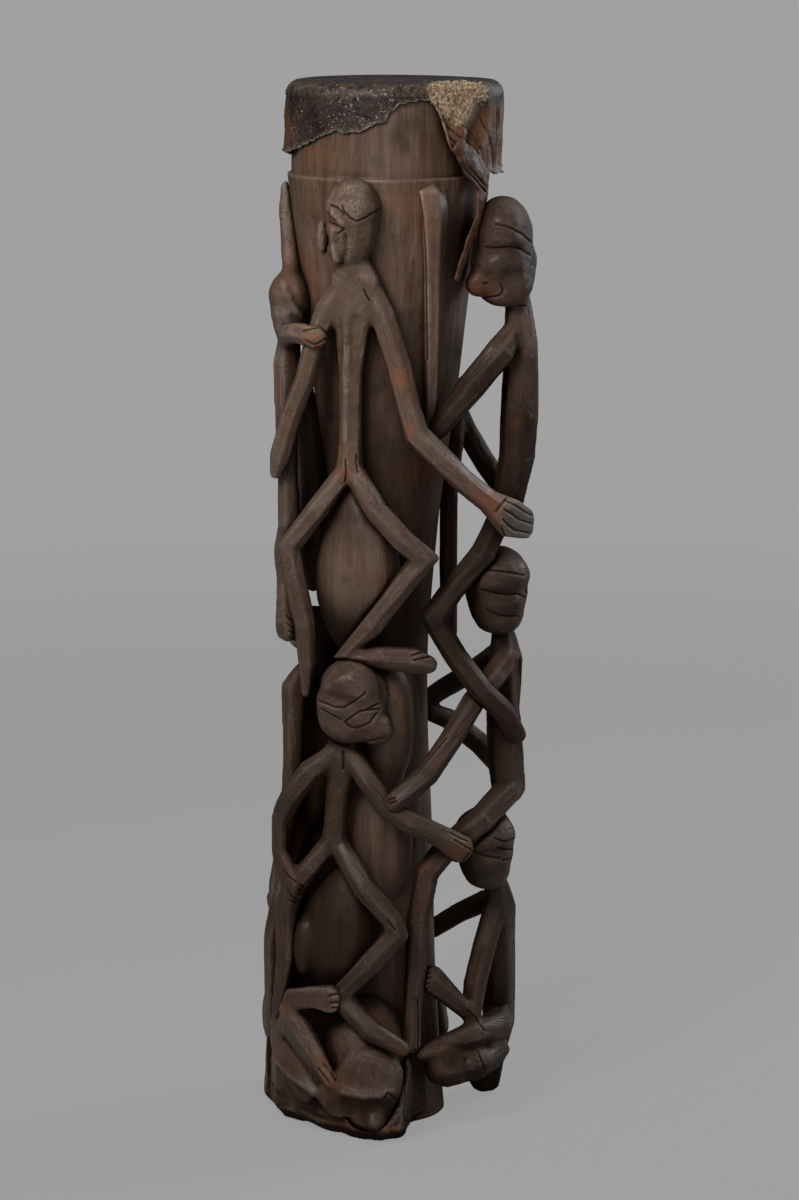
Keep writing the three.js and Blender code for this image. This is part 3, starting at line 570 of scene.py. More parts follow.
shell = make_object("carved_shell", *shell_mesh())
add_attribute(shell, "grain", along_log(coordinates(shell)))
shape(shell, shell_swells)
shell_cut = score(shell, shell_lines, shell_line_width, shell_line_depth)
add_attribute(shell, "edge", edge_relief(shell, shell_edge_rounds, shell_edge_size))
add_attribute(shell, "worn", spot_shares(shell, shell_worn))
add_attribute(shell, "cut", shell_cut * shell_cut_share)
# The shell is painted darker by height and round the dark spots: painted shade with some dark staining.
shell_height_stain_and_shade = np.interp(coordinates(shell)[:, 2], *zip(*shell_stain_and_shade))
add_attribute(shell, "stain_and_shade", np.maximum(shell_height_stain_and_shade, shell_dark_share * spot_shares(shell, shell_dark)))
shell.data.materials.append(wood("shell_wood", pale=0.7, grey=0.35, orange=0.35, hollow_shade=0.42))
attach(shell, "root")
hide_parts("drum_shell")
shell_tree = tree_of(shell)

for name, swell_form in shell_forms.items():
    swell = make_object(name, *ball_at(shell_tree, *swell_form, *swell_grid))
    lumps(swell, *swell_lumps)
    add_attribute(swell, "grain", along_log(coordinates(swell)))
    for layer in ("edge", "worn", "cut", "stain_and_shade"):
        add_attribute(swell, layer, np.zeros(len(swell.data.vertices)))
    swell.data.materials.append(shell.data.materials[0])
    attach(swell, "root")


# The hide: one dried skin, drawn wet over the rim and shrunk tight. In front its skirt is torn off
# short with a thin pale edge; on the right it hangs in stiff folds, and a patch of curly
# straw-coloured hair is left on it.
hide_thickness = 0.0024
hide_columns = 360
head_rings = 14
bend_rings = 5
bend_radius = 0.017
skirt_rings = 36
head_sag = 0.002
glue_gap = 0.0003
rim_band = 0.02
rim_pale_share = 0.28
crumple_depth = 0.0012
fray_wide, fray_fine = 0.0026, 0.0016
fold_turns, fold_lean, fold_wander = 0.30, 3.4, 3.5
wrinkle_depth, crease_depth = 0.0009, 0.0005
curl_least, curl_width = 0.0009, 0.0035
torn_width = 0.0016
bulge_fall = 0.3
skin_give = 0.0002
crack_width, crack_depth = 0.0016, 0.0016
torn_edge_spots = (
    (290, 153), (294, 150), (300, 147), (304, 145), (311, 142), (320, 137), (328, 134), (337, 130),
    (345, 133), (352, 132), (360, 133), (366, 129), (372, 126), (378, 123), (385, 121), (390, 113),
    (398, 104), (406, 102), (412, 101), (420, 99.5), (428, 100), (434, 104), (438, 111), (441, 122),
    (443, 134), (445, 143), (449, 150), (456, 154), (463, 162), (469, 173),
)
torn_edge_behind = (
    (-180, 0.067), (-155, 0.083), (-130, 0.068), (-110, 0.078), (-96, 0.087), (-86, 0.084), (72, 0.108),
    (82, 0.110), (94, 0.110), (106, 0.096), (122, 0.078), (140, 0.067), (160, 0.062), (180, 0.067),
)
hide_bulge = (
    (-180, 0.0026), (-155, 0.0013), (-130, 0.0026), (-96, 0.0038), (-78, 0.0030), (-60, 0.0008), (20, 0.0008),
    (32, 0.0028), (38, 0.0052), (46, 0.0078), (58, 0.0143), (70, 0.0221), (82, 0.0260), (94, 0.0260),
    (106, 0.0195), (122, 0.0091), (140, 0.0031), (160, 0.0013), (180, 0.0026),
)
hide_folds = (
    (-96, 0.0005), (-84, 0.0042), (-68, 0.0036), (-56, 0.0004), (28, 0.0004), (38, 0.0030), (60, 0.0050),
    (112, 0.0042), (130, 0.0006),
)
hide_cracks = (
    ((297, 95), (296, 106), (300, 118), (302, 126)), ((291, 100), (290, 118), (293, 134)),
    ((358, 115), (364, 118), (372, 122)), ((436, 88), (434, 96), (438, 104)),
    ((447, 126), (455, 132), (464, 141), (470, 152)), ((446, 134), (455, 142), (462, 152)),
    ((462, 124), (472, 134), (480, 148), (484, 162)), ((480, 118), (488, 134), (492, 154), (493, 172)),
    ((496, 100), (498, 120), (496, 145)),
)
hair_spots = (
    ((440, 92), 0.013), ((452, 92), 0.015), ((466, 91), 0.015), ((450, 106), 0.013), ((464, 103), 0.014),
    ((480, 91), 0.011), ((457, 116), 0.010),
)
hair_count = 2600
hair_least = 0.3
hair_jitter = 0.0018
hair_sizes = (0.0012, 0.0026)
hair_turn = 6.283
hair_steps = 8
hair_bend, hair_tighten = 0.62, 0.06
hair_foot, hair_lift, hair_arc = 0.0003, 0.0022, 2.6
hair_thick, hair_taper = 0.00034, 11
hair_sides, hair_side_turn = 3, 2.0944
flap_from, flap_to, flap_in, flap_out = 30, 150, 8, 20
hem_at, hem_width, hem_share = -84, 12, 0.45
ruddy_below = 0.02
# How far the painted shade in the hide's hollows reaches
hide_hollow = 0.012
hide_dark = (0.0095, 0.0055, 0.0042, 1)
hide_mottled = (0.027, 0.0165, 0.012, 1)
hide_ruddy = (0.120, 0.050, 0.022, 1)
hide_pale = (0.27, 0.21, 0.16, 1)
hair_straw = (0.66, 0.50, 0.33, 1)
hair_brown = (0.31, 0.215, 0.135, 1)


def on_collar(spot, reach):
    """Where a line of sight meets the collar: degrees from the front, and height."""
    start, way = sight(spot)
    start.x -= bore_x
    square = way.x ** 2 + way.y ** 2
    half = start.x * way.x + start.y * way.y
    rest = half ** 2 - square * (start.x ** 2 + start.y ** 2 - reach ** 2)
    place = start + way * ((-half - math.sqrt(max(rest, 0))) / square)
    return math.degrees(math.atan2(place.x, -place.y)), place.z


def read_rows(rows, around):
    """A value read between the rows of a table that goes round the drum."""
    return np.interp(around, [row[0] for row in rows], [row[1] for row in rows])


def hide_mesh():
    """The hide's outer face from its middle to the torn edge, and how pale each point of it is, at the torn
    edge and round the rim's bend.
    """
    skin = rim_radius + glue_gap + hide_thickness
    front = [on_collar(spot, skin) for spot in torn_edge_spots]
    edge = sorted([(around, rim_top - z) for around, z in front] + list(torn_edge_behind))
    points, torn = [(bore_x, 0, rim_top - head_sag)], [0.0]
    columns = []
    for column in range(hide_columns):
        around = 360 * column / hide_columns - 180
        turn = math.radians(around)
        way = Vector((math.sin(turn), -math.cos(turn), 0))
        reach = skin + read_rows(hide_bulge, around)
        fray = noise.noise(way * 14) * fray_wide + noise.noise(way * 46) * fray_fine
        drop = read_rows(edge, around) + fray
        folds = read_rows(hide_folds, around)
        profile = []
        for ring in range(1, head_rings + 1):
            share = ring / head_rings
            radius = (reach - bend_radius) * share
            profile.append((radius, rim_top - head_sag * (1 - share ** 3), 0))
        for ring in range(1, bend_rings + 1):
            bend = math.pi / 2 * ring / bend_rings
            crumple = crumple_depth * noise.noise(way * 30) * math.sin(bend)
            radius = reach - bend_radius + bend_radius * math.sin(bend) - crumple
            z = rim_top - bend_radius + bend_radius * math.cos(bend) - abs(crumple)
            # The rim's bend is painted paler in a band
            profile.append((radius, z, rim_pale_share * math.sin(bend * 2)))
        for ring in range(1, skirt_rings + 1):
            share = ring / skirt_rings
            down = bend_radius + (drop - bend_radius) * share
            left = drop - down
            slope = around * fold_turns + share * fold_lean
            slope += fold_wander * noise.noise(way * 5 + Vector((0, 0, down * 16)))
            gather = (math.sin(slope) + 0.4 * math.sin(2.3 * slope + 1)) * folds * share ** 0.6
            wrinkle = wrinkle_depth * noise.noise(Vector((around * 0.13, down * 60, 1)))
            wrinkle += crease_depth * noise.noise(Vector((around * 0.5, down * 170, 2)))
            curl = (curl_least + 0.9 * folds) * math.exp(-left / curl_width)
            radius = reach - read_rows(hide_bulge, around) * bulge_fall * share + gather
            radius = radius + wrinkle * min(1, share * 3) + curl
            profile.append((max(radius, skin - skin_give), rim_top - down, math.exp(-left / torn_width)))
        columns.append([(bore_x + way.x * radius, way.y * radius, z, rip) for radius, z, rip in profile])
    rows = len(columns[0])
    for row in range(rows):
        for column in columns:
            points.append(column[row][:3])
            torn.append(column[row][3])
    faces = [(0, 1 + i, 1 + (i + 1) % hide_columns) for i in range(hide_columns)]
    faces += [tuple(1 + i for i in reversed(face)) for face in grid_faces(rows, hide_columns, True)]
    return points, faces, np.array(torn)


def hide_material():
    shader = Shader("dried_hide")
    place = shader.add("TexCoord").outputs["Object"]
    clouds = shader.noise(place, 28, 4, 0.6)
    pores = shader.noise(place, 420, 3)
    color = shader.mix(shader.ramp(clouds, 0.35, 0.68), hide_dark, hide_mottled)
    color = shader.mix(shader.ramp(pores, 0.5, 0.3, 0, 0.5), color, wood_deep)
    ruddy = shader.calc("MULTIPLY", shader.attribute("ruddy"), shader.ramp(clouds, 0.3, 0.55, 0.35, 1))
    color = shader.mix(ruddy, color, hide_ruddy)
    specks = shader.ramp(shader.noise(place, 330, 2), 0.61, 0.67)
    specks = shader.calc("MULTIPLY", specks, shader.ramp(shader.noise(place, 34, 2), 0.4, 0.62, 0.1, 0.85))
    specks = shader.calc("MULTIPLY", specks, shader.ramp(shader.attribute("ruddy"), 0.3, 0.1))
    color = shader.mix(specks, color, hide_pale)
    color = shader.mix(shader.calc("MULTIPLY", shader.attribute("hair"), 0.8), color, hair_brown)
    fray = shader.ramp(shader.noise(place, 120, 2), 0.35, 0.65, 0.05, 0.7)
    fray = shader.calc("MULTIPLY", shader.attribute("torn"), fray)
    color = shader.mix(fray, color, hide_pale)
    # Painted shade: the cracks and the places that little open air reaches are painted dark
    color = shader.mix(shader.ramp(shader.attribute("cut"), 0.3, 0.95, 0, 0.9), color, wood_deep)
    air = shader.add("AmbientOcclusion", {"samples": 6}, Distance=hide_hollow).outputs["AO"]
    color = shader.mix(shader.ramp(air, 0.6, 0.2, 0, 0.8), color, wood_deep)
    rough = shader.ramp(clouds, 0.3, 0.7, 0.48, 0.72)
    creases = shader.add("TexVoronoi", {"feature": "DISTANCE_TO_EDGE"}, Vector=place, Scale=130.0)
    normal = shader.bump(shader.ramp(creases.outputs["Distance"], 0, 0.12), 0.25, 0.0005)
    normal = shader.bump(pores, 0.5, 0.0008, normal)
    normal = shader.bump(clouds, 0.4, 0.004, normal)
    return shader.finish(color, rough, normal, shader.ramp(pores, 0.3, 0.6, 0.1, 0.34))


def hair_curls(thing, density):
    """Small stiff curls that stand on the hide where the hair is left."""
    rolls = np.random.default_rng(7)
    spots, normals = coordinates(thing), normals_of(thing)
    chances = np.where(density > hair_least, density, 0) * (normals @ np.array((0, -1, 0.3)) > 0)
    points, faces = [], []
    for pick in rolls.choice(len(spots), hair_count, p=chances / chances.sum()):
        out = Vector(normals[pick])
        side = out.cross(Vector((0, 0, 1))).normalized()
        up = side.cross(out)
        root = Vector(spots[pick]) + side * rolls.normal(0, hair_jitter) + up * rolls.normal(0, hair_jitter)
        turn = rolls.uniform(0, hair_turn)
        size = rolls.uniform(*hair_sizes)
        way = rolls.choice((-1, 1))
        route = []
        for step in range(hair_steps + 1):
            bend = turn + way * step * hair_bend
            reach = size * (1 - hair_tighten * step)
            route.append(root + side * reach * math.cos(bend) + up * reach * math.sin(bend)
                         + out * (hair_foot + hair_lift * math.sin(step / hair_steps * hair_arc)))
        start = len(points)
        for step, spot in enumerate(route):
            thick = hair_thick * (1 - step / hair_taper)
            for corner in range(hair_sides):
                swing = corner * hair_side_turn
                points.append(spot + side * thick * math.cos(swing) + out * thick * math.sin(swing))
        for step in range(hair_steps):
            low = start + step * hair_sides
            high = low + hair_sides
            for corner in range(hair_sides):
                after = (corner + 1) % hair_sides
                faces.append((low + corner, low + after, high + after, high + corner))
    return points, faces


def hair_material():
    shader = Shader("straw_hair")
    place = shader.add("TexCoord").outputs["Object"]
    color = shader.mix(shader.ramp(shader.noise(place, 240, 3), 0.4, 0.6), hair_brown, hair_straw)
    rough = shader.ramp(shader.noise(place, 90, 2), 0.3, 0.7, 0.45, 0.65)
    return shader.finish(color, rough, shader.bump(shader.noise(place, 900, 2), 0.3, 0.0002))


rim_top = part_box("drum_hide")[1].z
rim_radius = max(far for level, far, _ in shell_outline() if level > rim_top - rim_band)
hide_points, hide_faces, hide_torn = hide_mesh()
hide = make_object("torn_hide", hide_points, hide_faces)
hide_cut = score(hide, hide_cracks, crack_width, crack_depth)
hide_places = coordinates(hide)
hide_around = np.degrees(np.arctan2(hide_places[:, 0] - bore_x, -hide_places[:, 1]))
hide_down = rim_top - hide_places[:, 2]
add_attribute(hide, "torn", hide_torn)
add_attribute(hide, "cut", hide_cut)
hair_share = spot_shares(hide, hair_spots)
add_attribute(hide, "hair", hair_share)
ruddy_flap = np.clip((hide_around - flap_from) / flap_in, 0, 1)
ruddy_flap *= np.clip((flap_to - hide_around) / flap_out, 0, 1)
ruddy_hem = hem_share * np.exp(-((hide_around - hem_at) / hem_width) ** 2)
ruddy_drop = np.clip((hide_down - ruddy_below) / ruddy_below, 0, 1)
add_attribute(hide, "ruddy", np.maximum(ruddy_flap, ruddy_hem) * ruddy_drop)
thickness = hide.modifiers.new("thickness", "SOLIDIFY")
thickness.thickness = hide_thickness
thickness.offset = -1
hide.data.materials.append(hide_material())
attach(hide, "root")
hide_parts("drum_hide")

hair = make_object("hide_hair", *hair_curls(hide, hair_share))
hair.data.materials.append(hair_material())
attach(hair, "root")


# The strut: a flat bar of the log that stands on the right of the front, left when the wood round it
# was cut away. One line is scored down its face, and its top is pared back until it dies into the shell.
figure_voxel = 0.0018
ease_rounds = 5
ease_in, ease_out = 0.5, 0.52
melt_rounds = 45
melt_everywhere = 0.3
line_width = 0.0013
line_depth = 0.0016
ridge_rounds = 5
ridge_size = 0.0007
dark_share = 0.85
strut_lines = (((417, 184), (422, 215), (425, 250), (426, 300), (427, 360)),)
# Painted shade with some dark staining: the strut darker toward its lower end
strut_stain_and_shade = ((0.7, 0.35), (0.86, 0.1), (0.95, 0))
strut_rounds = 5
strut_top = 0.045
strut_sunk = 0.020
strut_stretch = 0.005


def carved(name, node, voxel, rounds=ease_rounds, forms=()):
    """The node's solid, with any forms that are added to it, as one piece with eased ridges."""
    points, faces = [], []
    for form_points, form_faces in [*forms, corners_and_faces(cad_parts[node])]:
        faces += [[len(points) + i for i in face] for face in form_faces]
        points += form_points
    blank = make_object(name, points, faces)
    remesh = blank.modifiers.new("remesh", "REMESH")
    remesh.mode = "VOXEL"
    remesh.voxel_size = voxel
    made = bpy.data.meshes.new_from_object(blank.evaluated_get(bpy.context.evaluated_depsgraph_get()))
    blank.modifiers.clear()
    blank.data = made
    made.polygons.foreach_set("use_smooth", [True] * len(made.polygons))
    pairs = edge_pairs(blank)
    points = coordinates(blank)
    for _ in range(rounds):
        points += ease_in * (averaged(points, pairs) - points)
        points -= ease_out * (averaged(points, pairs) - points)
    set_coordinates(blank, points)
    return blank


def melt(thing, spots, rounds=melt_rounds, everywhere=melt_everywhere):
    """Rounds a carving a little all over, and much more round the places that these pixels show."""
    tree = tree_of(thing)
    points, pairs = coordinates(thing), edge_pairs(thing)
    share = np.full(len(points), everywhere)
    for spot, reach in spots:
        for place in seen(tree, [spot]):
            gap = np.linalg.norm(points - place - np.array((0, 0.5 * reach, 0)), axis=1)
            share = np.maximum(share, np.clip(2.4 - 2 * gap / reach, 0, 1))
    for _ in range(rounds):
        points += (0.5 * share)[:, None] * (averaged(points, pairs) - points)
    set_coordinates(thing, points)


def finish_carving(thing, node, material, lines=(), worn=(), stain_and_shade=((0, 0),), dark=()):
    """Scores a carving, marks what is worn and what is painted dark as shade and staining, and gives it its
    wood and its place.
    """
    cut = score(thing, lines, line_width, line_depth)
    add_attribute(thing, "edge", edge_relief(thing, ridge_rounds, ridge_size))
    add_attribute(thing, "worn", spot_shares(thing, worn))
    add_attribute(thing, "cut", cut)
    # Painted shade with some dark staining, by height and round the dark places
    height_stain_and_shade = np.interp(coordinates(thing)[:, 2], *zip(*stain_and_shade))
    add_attribute(thing, "stain_and_shade", np.maximum(height_stain_and_shade, dark_share * spot_shares(thing, dark)))
    thing.data.materials.append(material)
    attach(thing, "root")
    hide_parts(node)


def sink_top(thing):
    """Leans the strut's top in, so that it runs out in the shell's surface."""
    places = coordinates(thing)
    upper = np.clip((places[:, 2] - places[:, 2].max()) / strut_top + 1, 0, 1) ** 1.5
    places[:, 2] += strut_stretch * upper
    sunk = strut_sunk * upper
    inward = np.array((bore_x, 0)) - places[:, :2]
    places[:, :2] += inward * (sunk / np.hypot(places[:, 0] - bore_x, places[:, 1]))[:, None]
    set_coordinates(thing, places)


figure_wood = wood("figure_wood", pale=0.5, grey=0.6, orange=0.25)
strut = carved("carved_front_strut", "front_strut", figure_voxel)
melt(strut, (), strut_rounds, 1.0)
sink_top(strut)
add_attribute(strut, "grain", along_log(coordinates(strut)))
finish_carving(strut, "front_strut", figure_wood, strut_lines, (), strut_stain_and_shade)


# The swellings: two plain gourd-like masses between the legs of the front figures, left standing on
# the shell and rubbed round. They are part of the log and keep its upright fibres.
swelling_rounds = 60
lower_corner = ((314, 950), (-0.012, 0.016, 0), (0.016, 0.022, 0.040))
# Painted shade with some dark staining, by height, for each swelling
swelling_stain_and_shade = {
    "front_upper_swelling": ((0.58, 1.1), (0.65, 0.9), (0.69, 0.1), (0.73, 0.05), (0.78, 0.6)),
    "front_lower_swelling": ((0.14, 1.0), (0.2, 0.85), (0.3, 0.8)),
}
lower_tree = tree_of(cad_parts["front_lower_swelling"])
swelling_forms = {"front_lower_swelling": [ball_at(lower_tree, *lower_corner)]}

for node, stain_and_shade in swelling_stain_and_shade.items():
    swelling = carved("carved_" + node, node, figure_voxel, forms=swelling_forms.get(node, ()))
    melt(swelling, (), swelling_rounds, 1.0)
    add_attribute(swelling, "grain", along_log(coordinates(swelling)))
    finish_carving(swelling, node, figure_wood, stain_and_shade=stain_and_shade)


# The front figures: three long-limbed climbers, one above the other, cut from the log and held to the
# shell by trunk, hands and feet. The knife has eased their ridges, run flats along their limbs and cut
# the lines of face, fingers and toes.
flat_depth, flat_size = 0.0004, 0.011
grain_rounds = 10
grain_share = 0.93
leaf = ((323, 236), (0, 0, 0), (0.0085, 0.010, 0.021))
cheek = ((368, 706), (0, 0.014, 0), (0.024, 0.020, 0.026))
foot_cone = ((366, 1040), (0, -0.022, 0.004), (0.052, 0.054, 0.060))
middle_tree = tree_of(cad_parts["front_middle_figure"])
# What is done to each figure, at pixels of the photograph. Melts are rounded away, as far as each
# reaches; shapes are swells and hollows, by width, height and route; lines are scored; worn places are
# bare and dark places painted dark as shade, as far as each reaches; and painted shade with some dark
# staining goes by height.
front_figures = {
    "front_upper_figure": {
        "forms": [ball_at(shell_tree, *leaf)],
        "melts": (
            ((357, 195), 0.026), ((352, 250), 0.020), ((355, 285), 0.034), ((355, 330), 0.028),
            ((354, 375), 0.026), ((353, 420), 0.024),
        ),
        "shapes": (
            (0.017, 0.006, ((352, 190), (360, 190), (362, 203), (354, 205))),
            (0.005, 0.004, ((334, 214), (338, 217), (341, 222))),
            (0.005, 0.003, ((333, 230), (333, 240), (334, 250), (336, 260))),
            (0.004, -0.002, ((345, 236), (345, 250), (342, 264))),
            (0.006, -0.0016, ((355, 320), (355, 360), (354, 400), (352, 440))),
            (0.005, 0.0015, ((345, 320), (345, 360), (345, 400), (345, 440))),
        ),
        "lines": (
            ((342, 206), (344, 212), (350, 218), (357, 221.5), (365, 218), (373, 213), (381, 208)),
            ((330, 205), (336, 207), (341, 211), (343.5, 215)),
            ((326, 218), (330, 222), (338, 226), (344.5, 229.5), (341, 231.5), (337, 234)),
            ((364, 290), (366, 295), (370, 301)), ((345, 460), (346, 470), (345, 482)),
            ((357, 455), (356, 463), (358, 472)), ((505, 500), (515, 505), (525, 512), (538, 518)),
            ((505, 510), (512, 514), (520, 520), (537, 525)),
            ((503, 519), (508, 525), (515, 530), (530, 533)),
            ((501, 528), (505, 536), (510, 543), (520, 542)), ((496, 512), (500, 506), (507, 497)),
            ((412, 655), (428, 650)), ((414, 660), (430, 656)),
        ),
        "worn": (
            ((520, 540), 0.016), ((490, 503), 0.022), ((437, 657), 0.010), ((345, 472), 0.010),
            ((407, 432), 0.010), ((402, 380), 0.012), ((328, 228), 0.008),
        ),
        "stain_and_shade": ((0.5, 0.45), (0.7, 0.35), (0.85, 0)),
    },
    "front_middle_figure": {
        "forms": [ball_at(middle_tree, *cheek)],
        "melts": (
            ((352, 690), 0.045), ((350, 725), 0.040), ((338, 765), 0.030), ((337, 795), 0.026),
            ((335, 822), 0.022),
        ),
        "shapes": (
            (0.009, 0.003, ((325, 690), (335, 682), (350, 678))), (0.0025, -0.002, ((343, 752), (343, 768))),
            (0.006, 0.004, ((385, 722), (388, 730))), (0.018, -0.006, ((376, 663), (383, 675), (386, 690))),
        ),
        "lines": (
            ((316, 697), (320, 701), (325, 703), (335, 707), (344, 707), (350, 704), (355, 701), (366, 693)),
            ((345, 722), (350, 718), (355, 714), (361, 711), (368, 710), (375, 709), (380, 709)),
            ((345, 722), (350, 727), (355, 728), (360, 727), (365, 725), (370, 722), (377, 713)),
            ((367, 709), (373, 706), (380, 703)), ((320, 708), (325, 711), (330, 714), (340, 719)),
            ((322, 733), (332, 741), (343, 745), (355, 744), (365, 742), (375, 740), (385, 738)),
            ((455, 840), (463, 845), (472, 850), (467, 857), (462, 862)),
            ((450, 832), (460, 838), (468, 841)), ((387, 920), (395, 930)),
            ((283, 870), (289, 877), (296, 882)), ((300, 885), (305, 888), (310, 885)),
            ((299, 889), (305, 892), (310, 890)), ((299, 893), (304, 896), (308, 895)),
            ((290, 900), (300, 905), (308, 906)), ((287, 890), (292, 897), (300, 901)),
        ),
        "worn": (((462, 850), 0.018), ((404, 1052), 0.010), ((385, 742), 0.010), ((441, 945), 0.008)),
        "stain_and_shade": ((0.1, 0.65), (0.46, 0.6), (0.53, 0.4)),
    },
    "front_lower_figure": {
        "forms": [ball_at(shell_tree, *foot_cone)],
        "melts": (
            ((366, 1075), 0.050), ((366, 1110), 0.045), ((295, 1030), 0.05), ((290, 1070), 0.05),
            ((320, 1075), 0.03),
        ),
        "shapes": (
            (0.016, -0.007, ((345, 1112), (360, 1115), (390, 1112))),
            (0.008, 0.005, ((345, 1092), (365, 1096), (380, 1095), (390, 1090))),
            (0.010, 0.006, ((285, 1010), (300, 1035), (318, 1062), (330, 1082))),
            (0.007, 0.004, ((270, 1052), (290, 1075), (312, 1091))),
            (0.008, -0.005, ((282, 1040), (298, 1062), (315, 1084))),
            (0.009, 0.005, ((372, 1122), (378, 1134))),
        ),
        "lines": (
            ((383, 1101), (388, 1093), (394, 1098), (399, 1103)),
            ((330, 1003), (338, 1002), (345, 1000), (355, 993)),
            ((332, 1008), (338, 1008), (345, 1007), (352, 1000)), ((350, 990), (358, 989), (365, 988)),
            ((334, 1013), (343, 1012), (352, 1007)), ((328, 996), (340, 993), (350, 986)),
            ((318, 1068), (324, 1076), (330, 1083)), ((324, 1064), (331, 1072), (336, 1080)),
            ((312, 1070), (318, 1080), (325, 1088)),
        ),
        "worn": (((330, 1083), 0.016), ((322, 1062), 0.012), ((280, 1010), 0.008)),
        "stain_and_shade": ((0, 0.55), (0.1, 0.35)),
        "dark": (((366, 1114), 0.020), ((348, 1112), 0.014), ((388, 1114), 0.014), ((270, 1080), 0.012)),
    },
}


def limb_grain(thing, node):
    """Coordinates that run slowly along the limb under each point, so that fibres follow it."""
    points, faces = corners_and_faces(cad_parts[node])
    tree = BVHTree.FromPolygons(points, faces)
    ways = []
    for face in faces:
        spans = [points[face[i]] - points[face[i - 1]] for i in range(len(face))]
        ways.append(max(spans, key=lambda span: span.length).normalized())
    places = coordinates(thing)
    way = np.array([ways[tree.find_nearest(Vector(place))[2]][:] for place in places])
    way *= np.where(way[:, 2:3] < 0, -1.0, 1.0)
    pairs = edge_pairs(thing)
    for _ in range(grain_rounds):
        way = averaged(way, pairs)
    way /= np.maximum(np.linalg.norm(way, axis=1), 1e-6)[:, None]
    return places - grain_share * way * (places * way).sum(1)[:, None]


def knife_work(thing, depth=flat_depth, size=flat_size):
    """Shallow flats that the knife leaves all over a carving."""
    points, normals = coordinates(thing), normals_of(thing)
    grain = np.zeros(len(points) * 3, np.float32)
    thing.data.attributes["grain"].data.foreach_get("vector", grain)
    grain = grain.reshape(-1, 3) / size
    cells = np.array([noise.voronoi(Vector(place))[0][0] for place in grain])
    set_coordinates(thing, points - normals * (depth * (cells ** 2 * 2 - 0.6))[:, None])


def carve_figure(node, voxel, forms=(), melts=(), shapes=(), lines=(), worn=(), stain_and_shade=((0, 0.2),), dark=()):
    """One figure, rounded, shaped, scored and worn by its own marks."""
    piece = carved("carved_" + node, node, voxel, forms=forms)
    melt(piece, melts)
    shape(piece, shapes)
    add_attribute(piece, "grain", limb_grain(piece, node))
    knife_work(piece)
    finish_carving(piece, node, figure_wood, lines, worn, stain_and_shade, dark)


for node, marks in front_figures.items():
    carve_figure(node, figure_voxel, **marks)


# The right figures: three climbers that stand clear of the shell, so that light shows between, and
# hold on to it by their hands and feet. They are cut from the same log, and their trunks are painted
# dark, as shade and dark staining.
chin = ((484, 284), (-0.006, 0.010, 0), (0.017, 0.018, 0.017))
nape = ((518, 280), (0.001, 0.014, -0.006), (0.018, 0.020, 0.023))
head_tree = tree_of(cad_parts["right_upper_figure"])
right_figures = {
    "right_upper_figure": {
        "forms": [ball_at(head_tree, *chin), ball_at(head_tree, *nape)],
        "melts": (((500, 225), 0.045), ((500, 270), 0.045), ((520, 280), 0.050), ((522, 250), 0.045)),
        "shapes": ((0.009, -0.002, ((520, 330), (521, 400), (520, 480))),),
        "lines": (
            ((495, 224), (502, 225), (510, 227), (522, 234), (530, 241), (533, 243)),
            ((485, 247), (492, 248), (500, 248), (508, 247), (515, 247), (523, 250), (530, 255)),
            ((500, 284), (503, 290), (501, 294), (498, 296), (485, 298), (478, 298), (473, 296)),
            ((483, 282), (485, 284), (487, 283)), ((505, 310), (515, 306), (526, 306)),
        ),
        "worn": (((515, 423), 0.007), ((480, 290), 0.016), ((530, 520), 0.016)),
        "stain_and_shade": ((0.5, 0.85), (0.96, 0.85), (1.02, 0.1), (1.06, 0.65)),
        "dark": (((520, 400), 0.03), ((520, 450), 0.03)),
    },
    "right_middle_figure": {
        "melts": (((500, 560), 0.045), ((505, 600), 0.045)),
        "shapes": (
            (0.008, -0.002, ((516, 650), (520, 690), (522, 730))),
            (0.004, -0.002, ((415, 1000), (416, 1030), (414, 1060))),
        ),
        "lines": (
            ((478, 566), (492, 570), (508, 572), (524, 575)),
            ((482, 590), (500, 594), (518, 594), (531, 600)), ((525, 590), (528, 595), (531, 600)),
            ((486, 610), (500, 616), (516, 616)), ((520, 660), (521, 690), (520, 720)),
            ((405, 1060), (407, 1090), (408, 1110)), ((418, 1000), (419, 1030), (418, 1052)),
            ((378, 797), (384, 800), (390, 803), (396, 801)), ((375, 803), (382, 806), (388, 810)),
            ((375, 808), (380, 812), (385, 817)), ((383, 796), (389, 799), (395, 798)),
            ((415, 775), (430, 757), (446, 738)),
        ),
        "worn": (((385, 800), 0.012), ((440, 765), 0.010), ((425, 865), 0.012)),
        "stain_and_shade": ((0, 0.5), (0.5, 0.7)),
    },
    "right_lower_figure": {
        "melts": (((490, 840), 0.045), ((490, 865), 0.045), ((455, 1060), 0.055), ((485, 1060), 0.050)),
        "shapes": (
            (0.008, -0.004, ((440, 1045), (465, 1050), (490, 1045))),
            (0.006, -0.003, ((466, 1060), (468, 1085))),
        ),
        "lines": (
            ((495, 838), (500, 840), (505, 842), (515, 838)),
            ((497, 848), (503, 849), (510, 850), (517, 848)), ((503, 860), (510, 859), (515, 857)),
            ((470, 850), (485, 856), (500, 858)), ((409, 967), (414, 970), (420, 971), (430, 967)),
            ((409, 972), (414, 975), (420, 976), (430, 972)),
            ((410, 977), (415, 980), (421, 981), (430, 977)),
            ((411, 982), (416, 985), (421, 986), (429, 983)),
            ((412, 987), (417, 989), (422, 990), (428, 988)),
            ((468, 1010), (475, 1017), (480, 1024), (485, 1031)), ((478, 1052), (484, 1066), (486, 1082)),
        ),
        "worn": (((465, 985), 0.012), ((486, 1080), 0.012), ((440, 1050), 0.008)),
        "stain_and_shade": ((0, 0.75), (0.12, 0.65), (0.3, 0.65)),
        "dark": (((450, 1060), 0.03), ((480, 1072), 0.03)),
    },
}

for node, marks in right_figures.items():
    carve_figure(node, figure_voxel, **marks)


